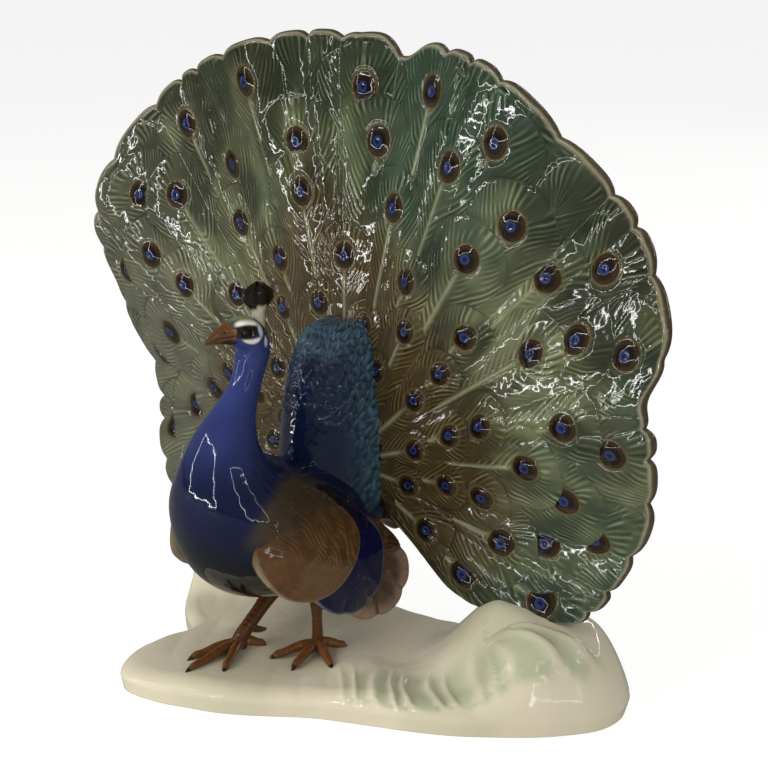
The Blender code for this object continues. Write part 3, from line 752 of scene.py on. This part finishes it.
def bird_place(u, v):
    """The body, neck, head and bill along the spine, with lids, gape and nostrils, and their marks."""
    y, z, lean, half_width, half_height = spine_section(u * (len(SPINE) - 1))
    turn = 2 * np.pi * v
    across = np.cos(turn)
    rise = np.sin(turn)
    forward = y - (SPINE[BROW][0] + EYE_SPOT[1])
    level = z + half_height * rise * np.cos(lean) - (SPINE[BROW][1] + EYE_SPOT[2])
    on_head = smooth_step(SPINE[NECK_TOP][1] - 5.0, SPINE[NECK_TOP][1], z)
    at = y + half_height * rise * np.sin(lean) - (SPINE[BROW][0] + EYE_SPOT[1])
    socket = np.hypot(at, level)
    beside = smooth_step(0.35, 0.75, np.abs(across)) * on_head
    lid = 0.35 * bell(socket - 2.5, 0.5) - 0.4 * bell(socket, 1.7)
    gape = bell(rise + 0.12, 0.1) * smooth_step(-1.0, -4.5, forward)
    nostril = np.exp(-(((at + 7.2) / 0.7) ** 2 + ((rise - 0.42) / 0.16) ** 2)) * on_head
    raised = lid * beside - 0.3 * gape * on_head - 0.28 * nostril
    scale_x = half_width + raised
    scale_z = half_height + raised
    x = scale_x * across
    y_out = y + scale_z * rise * np.sin(lean)
    z_out = z + scale_z * rise * np.cos(lean)
    bill = smooth_step(-2.6, -4.4, at + 0.5 * np.abs(rise)) * on_head
    bill = bill * smooth_step(4.6, 3.2, level + 0.3 * (at + 5.0))
    before_eye = 0.8 * spot(at + 5.6, level + 3.2, 3.4, 1.3)
    from_shoulder = np.hypot((y_out + 52.0) / 22.0, (z_out - 57.0) / 21.0)
    over_eye = spot(at - 0.8, level - 3.7 + 0.06 * (at - 0.5) ** 2, 5.6, 1.6)
    under_eye = spot(at - 1.6, level + 3.0 - 0.08 * (at - 1.5) ** 2, 4.2, 1.1)
    marks = {
        "mantle": 0.8 * smooth_step(0.1, 0.7, rise) * smooth_step(-60.0, -46.0, y_out) * (1.0 - on_head)
        * smooth_step(0.2, 0.7, np.abs(across)),
        "belly": smooth_step(62.0, 38.0, z_out + 0.3 * (y_out + 50.0)),
        "throat": 0.75 * smooth_step(76.0, 102.0, z_out) * smooth_step(2.0, -3.0, level),
        "crown": on_head * smooth_step(3.4, 5.0, level - 0.35 * np.minimum(at + 2.0, 0.0) + 0.1 * at)
        * smooth_step(5.5, 3.0, at),
        "white": on_head * beside * np.maximum.reduce([
            over_eye, 0.9 * under_eye, 0.6 * spot(at - 5.2, level - 0.4, 1.3, 3.0),
            0.7 * spot(at - 7.2, level + 4.0, 1.1, 2.2),
        ]),
        "stripe": on_head * beside * spot(at + 0.6, level - 0.2, 5.2, 2.9),
        "bill": bill,
        "scapular": 0.9 * smooth_step(1.16, 0.96, from_shoulder) * smooth_step(56.0, 64.0, z_out)
        * (1.0 - on_head),
        "bill_dark": on_head * np.maximum(bill * np.maximum(0.7 * gape, nostril), before_eye),
    }
    return turn_head(x, y_out, z_out), marks


def iris(side, material):
    """A glossy eye set into the head's side."""
    bm = bmesh.new()
    centre = turn_head(*(side * EYE_SPOT[0], SPINE[BROW][0] + EYE_SPOT[1], SPINE[BROW][1] + EYE_SPOT[2]))
    bmesh.ops.create_uvsphere(
        bm, u_segments=32, v_segments=20, radius=IRIS_RADIUS * MM,
        matrix=Matrix.Translation(Vector([float(c) for c in centre]) * MM),
    )
    mesh = bpy.data.meshes.new("eye")
    bm.to_mesh(mesh)
    bm.free()
    return add_piece(f"eye_{'left' if side > 0 else 'right'}", mesh, material)


def crest_place(u, v):
    """A pale stem that flares into a blunt, slightly lumpy tuft of dark plumes."""
    foot = SPINE[NECK_TOP][1] + 3.0
    tuft = CREST_TOP - CREST_TUFT
    z = foot + (CREST_TOP - foot) * u
    spread = smooth_step(tuft - 2.5, tuft + 2.5, z)
    close = np.sqrt(np.clip((CREST_TOP - z) / 4.0, 0.0, 1.0))
    turn = 2 * np.pi * v
    across, away = np.cos(turn), np.sin(turn)
    tufts = np.cos(9.0 * away + 2.0 * across + 1.0) * np.cos(3.0 * across + 0.4)
    lump = (0.16 * tufts + 0.05 * np.cos(24.0 * away + 3.0 * u)) * spread * close
    width = (CREST_STEM_RADIUS + (CREST_WIDTH / 2 - CREST_STEM_RADIUS) * spread) * close + lump
    depth = (CREST_STEM_RADIUS + (CREST_THICKNESS / 2 - CREST_STEM_RADIUS) * spread) * close + lump
    z = z + (0.5 * tufts - 0.5) * smooth_step(0.85, 1.0, u)
    x = depth * across
    y = SPINE[NECK_TOP][0] + CREST_SETBACK + width * away
    marks = {
        "stem": 1.0 - smooth_step(tuft - 0.4, tuft + 1.2, z + 0.4 * tufts + 1.8 * np.abs(away)),
        "ridge": 0.3 + 0.3 * tufts,
    }
    return turn_head(x, y, z), marks


# The wings.

def flank(y, z):
    """How far the wing's outer surface stands from the bird's middle plane."""
    along = y - WING_MIDDLE[0]
    up = z - WING_MIDDLE[1]
    reach = WING_REACH
    for off, (fall, distance) in (
        (np.maximum(-along, 0.0), WING_FALL_FORWARD), (np.maximum(along, 0.0), WING_FALL_BEHIND),
        (np.maximum(up, 0.0), WING_FALL_ABOVE), (np.maximum(-up, 0.0), WING_FALL_BELOW),
    ):
        reach = reach - fall * (off / distance) ** 2
    return reach


def scales(across, along, width, length, reach=1.35, fan=9.0):
    """Overlapping round feathers in staggered rows, tips towards -along: raised height, edge and comb."""
    height = np.zeros_like(across)
    edge_mark = np.zeros_like(across)
    comb = np.zeros_like(across)
    row_here = np.floor(along / length)
    for step in (-1, 0, 1, 2):
        row = row_here + step
        shift = 0.5 * np.mod(row, 2.0) * width
        column = np.round((across - shift) / width)
        dx = across - shift - column * width
        dz = (row + 0.5) * length - along
        edge = 1.0 - np.hypot(dx / (0.62 * width), np.maximum(dz, 0.0) / (reach * length))
        over = (edge > 0.0) & (dz > -0.6 * length)
        phase = np.degrees(np.arctan2(dx, dz + 0.7 * length)) / fan
        strand = waves(phase)
        height = np.where(over, 1.0 - np.exp(-edge * 4.0) + 0.25 * strand, height)
        edge_mark = np.where(over, np.exp(-edge / 0.12), edge_mark)
        comb = np.where(over, strand, comb)
    return height, edge_mark, comb


def body_reach(y, z):
    """How far the bird's side stands from its middle plane, at a place seen from the side."""
    low = np.zeros_like(y)
    high = np.full_like(y, float(NECK_FOOT))
    for _ in range(18):
        station = (low + high) / 2
        cy, cz, lean, half_width, half_height = spine_section(station)
        short = (y - cy) * np.cos(lean) - (z - cz) * np.sin(lean) < 0.0
        low = np.where(short, station, low)
        high = np.where(short, high, station)
    rise = ((y - cy) * np.sin(lean) + (z - cz) * np.cos(lean)) / half_height
    return half_width * np.sqrt(np.clip(1.0 - rise ** 2, 0.0, 1.0))


def wing_tier(tier, side, material):
    """One tier of a wing: a closed pad over the flank, its rim lobed by its feathers and tucked under."""
    cy, cz, half_length, half_height, droop, proud, feathers, first, depth = WING_TIERS[tier]
    droop = math.radians(droop)
    brim = 0.84

    def place(u, v):
        turn = 2 * np.pi * v
        under = np.clip((u - brim) / (1.0 - brim), 0.0, 1.0)
        share = np.where(u <= brim, u / brim, 1.0 - smooth_step(0.15, 1.0, under))
        count = feathers * (turn - math.radians(first)) / (2 * np.pi)
        number = np.round(count)
        off = count - number
        reach = 1.0 - depth / half_length * np.abs(2 * off) ** 3
        along = share * reach * half_length * np.cos(turn)
        up = share * reach * half_height * np.sin(turn)
        y = cy + along * math.cos(droop) + up * math.sin(droop)
        z = cz - along * math.sin(droop) + up * math.cos(droop)
        relief, marks = WING_RELIEF[tier](y, z, share, number, off)
        tuck = WING_TUCK * share ** 6 * smooth_step(cz - 8.0, cz + 8.0, z - 0.4 * (y - cy))
        sink = WING_THICKNESS * smooth_step(0.0, 0.45, under)
        lift = proud * (1.0 - 0.55 * share ** 3) * (under <= 0) + (0.45 * proud - sink) * (under > 0)
        rounded = 1.0 - smooth_step(0.93, 1.0, share) * 0.8
        out = flank(y, z) + lift - tuck
        if tier == "shoulder":
            out = out + 0.3 * proud * share ** 3 * (under <= 0)
            over_body = body_reach(y, z) + 1.3 * (1.0 - share ** 4) - 0.3 - sink * (under > 0)
            out = (out + over_body + np.hypot(out - over_body, 1.0)) / 2
        return (side * (out + relief * rounded * (under <= 0)), y, z), marks

    return skin(f"wing_{'left' if side > 0 else 'right'}_{tier}", WING_RINGS, WING_SIDES, place, material)


def from_hinge(y, z):
    """The distance from the wing's hinge, which its feathers fan round."""
    return np.hypot(y - WING_HINGE[0], z - WING_HINGE[1])


def primaries_relief(y, z, share, number, off):
    """A few broad flight feathers, each lapping the one below it, with soft creases and fine barbs."""
    comb = waves((from_hinge(y, z) + 14.0 * np.abs(off)) / 1.7)
    crease = bell(off, 0.05) * smooth_step(0.5, 0.7, share)
    lap = 0.8 * np.cos(np.pi * off) - 0.9 * off
    near = 1.0 - smooth_step(0.66, 0.92, share + 0.05 * wander(y, z, 12.0, 2)) * (number != 1)
    marks = {
        "near": near,
        "gap": smooth_step(0.44, 0.5, np.abs(off)),
        "ridge": 0.35 * comb,
        "quill": 0.4 * crease,
    }
    return lap * smooth_step(0.3, 0.6, share) - 0.6 + 0.05 * comb - 0.15 * crease, marks


def coverts_relief(y, z, share, number, off):
    """A band of smooth blue feathers with a pale edge below, dark where they run up to the back."""
    comb = waves((from_hinge(y, z) + 10.0 * np.abs(off)) / 1.9)
    low = smooth_step(64.0, 56.0, z)
    marks = {
        "edge": 0.75 * smooth_step(0.955, 0.995, share) * low,
        "gap": smooth_step(0.42, 0.5, np.abs(off)) * smooth_step(0.8, 0.92, share) * low,
        "ridge": 0.4 * comb,
        "mantle": smooth_step(52.0, 68.0, z),
    }
    lap = 0.35 * np.cos(np.pi * off) - 0.3 * off - 0.25
    return lap * smooth_step(0.7, 0.9, share) + 0.03 * comb, marks


def shoulder_relief(y, z, share, number, off):
    """Small brown feathers combed down over the wing's shoulder, with a smoother lower band."""
    warp = wander(y, z, 9.0, 5)
    strokes = np.cos(2 * np.pi * (y + 0.45 * z + 2.2 * wander(y, z, 12.0, 12)) / 1.9)
    curl = smooth_step(-0.4, 0.6, wander(y, z, 3.2, 17) + 0.2)
    rows = np.mod((z + 0.5 * y + 2.4 * warp) / 4.6, 1.0)
    band = 1.0 - smooth_step(57.6, 59.2, z + 0.52 * (y + 68.0) - 0.01 * (y + 52.0) ** 2)
    height = (0.12 * strokes * curl + 0.16 * (1.0 - rows) ** 0.7) * (1.0 - 0.85 * band)
    marks = {
        "dark_top": 0.92 * smooth_step(57.0, 71.0, z - 0.15 * (y + 52.0) + 2.0 * warp),
        "stroke": 0.5 * (0.5 + 0.5 * strokes) * curl * (1.0 - 0.6 * band),
        "row": 0.45 * smooth_step(0.7, 1.0, rows) * (1.0 - band),
        "band": 0.6 * band,
        "rim": 0.6 * smooth_step(0.95, 0.99, share) * smooth_step(60.0, 50.0, z),
    }
    return height - 0.3 - 0.3 * band, marks


WING_RELIEF = {"primaries": primaries_relief, "coverts": coverts_relief, "shoulder": shoulder_relief}


# The column.

def column_place(u, v):
    """The column behind the bird: short curled feathers round a smooth blue face."""
    turn = 2 * np.pi * v
    climb = u
    swell = np.clip(np.cos(climb * np.pi / 2), 0.0, 1.0) ** 0.4
    z = COLUMN_BASE + (COLUMN_TOP - COLUMN_BASE) * np.sin(climb * np.pi / 2)
    front = np.sin(turn) < 0
    girth = COLUMN_GIRTH * (np.mod(v + 0.75, 1.0) - 0.5)
    level = z + 8.0 * climb ** 3
    warp = wander(girth, level, 6.0, 21)
    height, edge, comb = scales(girth + 1.3 * warp, level + 1.2 * warp, CURL_WIDTH, CURL_LENGTH, fan=17.0)
    smooth_face = np.maximum(
        spot(girth - 2.0, z - 76.0, 19.0, 26.0), spot(girth + 15.0, z - 84.0, 8.0, 22.0)
    )
    crease = bell(girth + 7.0 + 0.05 * (z - 80.0), 0.9) * spot(girth + 7.0, z - 78.0, 6.0, 26.0)
    relief = (0.95 * height - 0.5) * (1.0 - 0.92 * smooth_face) * smooth_step(1.0, 0.97, climb)
    relief = relief - 0.7 * crease
    x = COLUMN_OFFSET + (COLUMN_HALF_WIDTH * swell + relief * swell ** 0.5) * np.cos(turn)
    deep = COLUMN_DEPTH * swell * np.where(front, 1.0, 0.25) + relief * swell ** 0.5 * front
    y = -2.0 + deep * np.sin(turn)
    y = y * (1.0 - 0.12 * climb)
    edges = smooth_step(11.0, 23.0, np.abs(girth + 1.0))
    marks = {
        "ridge": 0.75 * comb * (1.0 - smooth_face),
        "edge": edge * (1.0 - smooth_face),
        "cobalt": 0.92 * smooth_step(123.0, 108.0, z + 3.0 * warp) * (1.0 - edges),
        "vane": 0.95 * spot(girth + 20.0, z - 90.0, 15.0, 34.0),
        "fold": 0.5 * crease + 0.35 * spot(girth + 1.0, z - 82.0, 8.0, 20.0),
        "foot": 0.8 * smooth_step(66.0, 54.0, z),
    }
    return (x, y, z + relief * 0.4 * np.sin(climb * np.pi / 2)), marks


# The legs.

def limb(name, route, radii, sides, rings, material, scute=0.0):
    """A tapering limb along a smooth route, ringed with scutes."""
    stations = np.arange(len(route))
    paths = [[(k, point[c]) for k, point in zip(stations, route)] for c in range(3)]

    def place(u, v):
        t = u * (len(route) - 1)
        centre = np.array([smooth_table(path, t) for path in paths])
        ahead = np.array([smooth_table(path, t + 0.02) - smooth_table(path, t - 0.02) for path in paths])
        ahead = ahead / np.maximum(np.linalg.norm(ahead, axis=0), 1e-9)
        guide = np.array([0.35, 0.9, 0.25])
        across = np.cross(ahead.T, guide).T
        across = across / np.linalg.norm(across, axis=0)
        third = np.cross(ahead.T, across.T).T
        length = sum(math.dist(a, b) for a, b in zip(route, route[1:]))
        ring = np.mod(u * length / 1.5, 1.0)
        turn = 2 * np.pi * v
        lap = scute * (0.6 - ring) * smooth_step(-0.2, 0.5, np.sin(turn))
        radius = smooth_table(list(zip(stations, radii)), t) + lap
        radius = radius * np.sqrt(np.clip(np.minimum(u, 1.0 - u) * 60.0, 0.0, 1.0))
        point = centre + radius * (np.cos(turn) * across + np.sin(turn) * third)
        return tuple(point), {"ring": smooth_step(0.75, 1.0, ring), "claw": smooth_step(0.82, 0.86, u)}

    return skin(name, rings, sides, place, material)


def make_legs(shank_glaze, toe_glaze):
    """Two shanks, each with four toes, and one spur."""
    for number, ((foot_x, foot_y), thigh, shank_radius, toes) in enumerate(FEET):
        side = ("left", "right")[number]
        ankle = (foot_x, foot_y, ANKLE_HEIGHT)
        sole = (foot_x, foot_y - 1.0, SLAB_HEIGHT - 0.5)
        knee = tuple((a + b) / 2 for a, b in zip(thigh, ankle))
        radii = (THIGH_RADIUS, shank_radius, shank_radius, 1.1 * shank_radius)
        limb(f"shank_{side}", (thigh, knee, ankle, sole), radii, 36, 90, shank_glaze, scute=0.16)
        for count, (tip_x, tip_y) in enumerate(toes):
            route = [(foot_x, foot_y, SLAB_HEIGHT + 2.4)]
            for share, height in ((0.35, 2.6), (0.68, 1.6), (0.84, 1.3), (1.0, -0.5)):
                route.append((foot_x + share * (tip_x - foot_x), foot_y + share * (tip_y - foot_y),
                              SLAB_HEIGHT + height))
            radii = [share * TOE_RADIUS for share in TOE_TAPER]
            limb(f"toe_{side}_{count}", route, radii, 28, 70, toe_glaze, scute=0.14)
    radii = [share * SPUR_RADIUS for share in (1.0, 0.75, 0.3)]
    limb("spur_right", SPUR_ROUTE, radii, 28, 24, shank_glaze)


# The ground.

def mound_rise(across, away, outward, reach):
    """A mound's rise from 0 to 1: a spreading slope that turns into a dome on its outward side."""
    slope = (1.0 - smooth_step(0.1, 1.15, reach)) ** 1.7
    dome = np.sqrt(np.clip(1.0 - reach ** 2.4, 0.0, 1.0))
    facing = outward * across / np.maximum(np.hypot(across, away), WELD)
    return slope + (dome - slope) * smooth_step(0.0, 0.9, facing)


def pleats(x, y, edge):
    """Cloth-like pleats over the near mound's front: how far they stand proud, and their sunk troughs.

    They run side by side on the left and fan out round PLEAT_ORIGIN on the right, down to a scalloped hem.
    """
    right = x - PLEAT_ORIGIN[0]
    back = y - PLEAT_ORIGIN[1]
    along = (right + back) / math.sqrt(2.0)
    outward = (right - back) / math.sqrt(2.0)
    turn = np.degrees(np.arctan2(back, right)) + 45.0
    fans = (along > 0.0) & (outward > -20.0)
    out = np.where(fans, np.hypot(right, back), outward - 0.3 * along) + 1.5 * wander(x, y, 9.0, 61)
    count = np.where(fans, turn / PLEAT_FAN_PITCH, along / PLEAT_PITCH)
    count = count + 0.2 * np.sin(2.6 * count) + 0.22 * wander(x, y, 16.0, 4)
    fold = bell(np.mod(count + 0.5, 1.0) - 0.5, 0.19)
    spread = smooth_step(-56.0, -40.0, along) * np.where(fans, smooth_step(76.0, 66.0, turn), 1.0)
    hem = HEM_SHARE + 0.028 * smooth_step(-15.0, -35.0, along)
    hem = hem + 0.02 * (1.0 - fold) + 0.006 * wander(x, y, 7.0, 6)
    draped = spread * (1.0 - smooth_step(hem - 0.012, hem + 0.012, edge))
    running = smooth_step(-3.0, 8.0, out)
    raised = draped * (LEDGE * smooth_step(-14.0, 2.0, out) + PLEAT_RELIEF * (fold - 0.3) * running)
    return raised, draped * running * (1.0 - fold)


def ground_height(x, y, edge, raised):
    """The top of the ground: a soft slab and two mounds, with the pleats raised on it."""
    z = SLAB_HEIGHT + 0.5 * np.sin(0.11 * x + 0.07 * y) + 0.35 * wander(x, y, 20.0, 8)
    z = z + 0.3 * np.abs(wander(x + 0.4 * y, 0.5 * y, 11.0, 44))
    for mound_x, mound_y, height, half_length, half_depth in MOUNDS:
        across = x / GROUND_REACH - mound_x
        away = y / GROUND_REACH - mound_y
        reach = np.hypot(across / half_length, away / half_depth)
        z = z + (height - SLAB_HEIGHT) * mound_rise(across, away, math.copysign(1.0, mound_x), reach)
    z = z + raised
    rounding = np.clip((edge - EDGE_START) / (1.0 - EDGE_START), 0.0, 1.0)
    return SLAB_LIP + (z - SLAB_LIP) * np.sqrt(1.0 - rounding ** 2)


def ground_place(u, v):
    """The ground from its middle out over the brim, down the wall and back in under its flat foot."""
    brim = 0.86
    wall = 0.93
    inward = np.clip(u / brim, 0.0, 1.0)
    share = np.where(
        u <= brim, 1.0 - (1.0 - inward) ** 1.2,
        np.where(u <= wall, 1.0 - 0.012 * (u - brim) / (wall - brim), 0.988 * (1.0 - u) / (1.0 - wall)),
    )
    angle = 360.0 * np.mod(v + CROWDING * np.sin(2 * np.pi * (v - PLEAT_SIDE_OF_GROUND)), 1.0) - 180.0
    radius = share * GROUND_REACH * smooth_table(GROUND_OUTLINE, angle)
    x = radius * np.cos(np.radians(angle))
    y = SLAB_CENTRE_Y + radius * np.sin(np.radians(angle))
    raised, hollow = pleats(x, y, share)
    z = ground_height(x, y, share, raised)
    on_wall = smooth_step(0.8, 0.93, share) * smooth_step(1.0, 0.97, share)
    proud = 1.0 + WALL_SHARE_OF_RELIEF * raised * on_wall / np.maximum(radius, WELD)
    x = x * proud
    y = SLAB_CENTRE_Y + (y - SLAB_CENTRE_Y) * proud
    down = np.clip((u - brim) / (wall - brim), 0.0, 1.0)
    z = np.where(u <= brim, z, SLAB_LIP * (1.0 - down))
    z = np.where(u >= wall, 0.0, z)
    washed = 0.4 * smooth_step(0.2, 1.0, wander(x, y, 26.0, 15) + 0.3)
    marks = {
        "hollow": 0.75 * hollow,
        "green": washed + 0.35 * smooth_step(14.0, 24.0, z),
    }
    return (x, y, z), marks


# Making the pieces.

FEATHERS = train_feathers()


def make_pieces():
    """Every piece with its own glaze: washes from the palest olive to cobalt, all under one clear gloss."""
    train_glaze = glaze("underglaze_painted_train_porcelain", train_paint, mottle_size=13.0, mottle=0.3)
    for name, start, end in TRAIN_SECTORS:
        train_sector(name, start, end, train_glaze)
    skin("tail", 70, 320, tail_place, glaze("brown_glazed_tail", flat_paint("#43331f", (
        ("comb", "#5d4a31"), ("gap", "#1d140b"), ("quill", "#7a684b"), ("tip", "#5b4d38"),
    )), mottle_size=11.0))
    skin("bird", 230, 96, bird_place, glaze("cobalt_glazed_porcelain", flat_paint("#101737", (
        ("mantle", "#15182a"), ("belly", "#0d0e12"), ("throat", "#34407a"), ("crown", "#78845a"),
        ("white", "#efead8"), ("stripe", "#1d130b"), ("bill", "#5c3e20"), ("bill_dark", "#1d130b"),
        ("scapular", "#3d3324"),
    )), mottle_size=16.0, mottle=0.25))
    eye_glaze = glaze("black_glazed_eye", flat_paint("#0b0806"), mottle=0.0)
    for side in (-1, 1):
        iris(side, eye_glaze)
    skin("crest", 70, 96, crest_place, glaze("black_brown_glazed_crest", flat_paint("#0f0b09", (
        ("ridge", "#261b13"), ("stem", "#b3ad98"),
    ))))
    primaries = glaze("brown_glazed_flight_feathers", flat_paint("#977a64", (
        ("near", "#3b2513"), ("ridge", "#6d5340"), ("gap", "#3a2a1d"), ("quill", "#6d523c"),
    )))
    coverts = glaze("cobalt_glazed_coverts", flat_paint("#0b0e36", (
        ("ridge", "#0f1236"), ("mantle", "#0e1019"), ("gap", "#060814"), ("edge", "#6d7088"),
    )), shine=0.22)
    shoulder = glaze("brown_glazed_shoulder", flat_paint("#4f341b", (
        ("band", "#614328"), ("row", "#2c1c0d"), ("stroke", "#7c5631"), ("rim", "#8a8068"),
        ("dark_top", "#382d1e"),
    )), mottle_size=5.0)
    for side in (-1, 1):
        for tier, material in (("primaries", primaries), ("coverts", coverts), ("shoulder", shoulder)):
            wing_tier(tier, side, material)
    skin("train_column", 150, 200, column_place, glaze("blue_glazed_column", flat_paint("#263f4c", (
        ("ridge", "#587280"), ("edge", "#0f1b26"), ("cobalt", "#081230"), ("vane", "#7b7f92"),
        ("fold", "#15132c"), ("foot", "#1c2238"),
    )), mottle_size=6.0, mottle=0.3))
    make_legs(
        glaze("red_brown_glazed_shank", flat_paint("#4d2d12", (("ring", "#331d0d"),)), mottle_size=4.0),
        glaze("red_brown_glazed_toe", flat_paint("#704624", (
            ("ring", "#54331a"), ("claw", "#1a110a"),
        )), mottle_size=4.0),
    )
    skin("ground", 150, 320, ground_place, glaze("ivory_glazed_ground", flat_paint("#e0d6bb", (
        ("green", "#c6c3a2"), ("hollow", "#adb391"),
    )), mottle_size=30.0, mottle=0.04))


def add_camera():
    """The camera at the photograph's place, with its focal length."""
    camera = bpy.data.objects.new("camera", bpy.data.cameras.new("camera"))
    camera.data.sensor_width = SENSOR_WIDTH
    camera.data.lens = FOCAL_PIXELS / FRAME_PIXELS * SENSOR_WIDTH
    camera.data.clip_start = 0.01
    camera.location = Vector(CAMERA_PLACE) * MM
    camera.rotation_euler = (math.radians(90.0 - CAMERA_DROP), 0.0, math.radians(CAMERA_AZIMUTH))
    bpy.context.scene.collection.objects.link(camera)
    bpy.context.scene.camera = camera


def add_light(name, place, target, size, watts, mirrored=True):
    """A flat soft light at a place, aimed at a target, with its width and height in metres.

    One that isn't mirrored lights the colours and stays out of the glaze's reflections.
    """
    lamp = bpy.data.lights.new(name, "AREA")
    lamp.shape = "RECTANGLE"
    lamp.size, lamp.size_y = size
    lamp.energy = watts
    light = bpy.data.objects.new(name, lamp)
    light.location = place
    light.visible_glossy = mirrored
    light.rotation_euler = (Vector(target) - Vector(place)).to_track_quat("-Z", "Y").to_euler()
    bpy.context.scene.collection.objects.link(light)


def add_window(name, centre, width, height, bar, watts):
    """A window's bright frame: four thin lights round a rectangle that faces the figure."""
    towards = Vector(FIGURE_MIDDLE) - Vector(centre)
    facing = towards.to_track_quat("-Z", "Y")
    bars = (
        (-0.5, 0.0, (bar, height)), (0.5, 0.0, (bar, height)),
        (0.0, -0.5, (width, bar)), (0.0, 0.5, (width, bar)),
    )
    for number, (across, up, size) in enumerate(bars):
        place = Vector(centre) + facing @ Vector((across * width, up * height, 0.0))
        share = size[0] * size[1] / (2 * bar * (width + height))
        add_light(f"{name}_{number}", place, place + towards, size, watts * share)


def add_floor():
    """A white paper sweep: matt, and glowing white to the camera so that it drops out behind the figure."""
    bm = bmesh.new()
    bmesh.ops.create_grid(bm, x_segments=1, y_segments=1, size=FLOOR_HALF_SIZE)
    mesh = bpy.data.meshes.new("floor")
    bm.to_mesh(mesh)
    bm.free()
    paper = bpy.data.materials.new("white_paper_sweep")
    paper.use_nodes = True
    shader = paper.node_tree.nodes["Principled BSDF"]
    shader.inputs["Base Color"].default_value = linear("#8f8e8a")
    shader.inputs["Roughness"].default_value = 0.9
    shader.inputs["Emission Color"].default_value = linear("#ffffff")
    ray = add_node(paper.node_tree, "ShaderNodeLightPath").outputs
    glow = 0.0
    for kind, strength in (("Is Diffuse Ray", FLOOR_GLOW_ON_PORCELAIN), ("Is Camera Ray", FLOOR_GLOW_SEEN)):
        glow = add_node(
            paper.node_tree, "ShaderNodeMath", {0: ray[kind], 1: strength, 2: glow}, operation="MULTIPLY_ADD"
        ).outputs[0]
    paper.node_tree.links.new(glow, shader.inputs["Emission Strength"])
    mesh.materials.append(paper)
    floor = bpy.data.objects.new("floor", mesh)
    bpy.context.scene.collection.objects.link(floor)


def add_studio():
    """Windows, soft lights and a pale room round the figure."""
    for name, place, width, height, bar, watts in WINDOWS:
        add_window(name, place, width, height, bar, watts)
    for name, place, size, watts in SOFT_LIGHTS:
        add_light(name, place, FIGURE_MIDDLE, size, watts, mirrored=False)
    world = bpy.data.worlds.new("studio")
    world.use_nodes = True
    background = world.node_tree.nodes["Background"]
    background.inputs["Color"].default_value = linear("#ffffff")
    background.inputs["Strength"].default_value = ROOM_LIGHT
    bpy.context.scene.world = world
    bpy.context.scene.view_settings.view_transform = "Standard"


add_camera()
add_floor()
add_studio()
make_pieces()
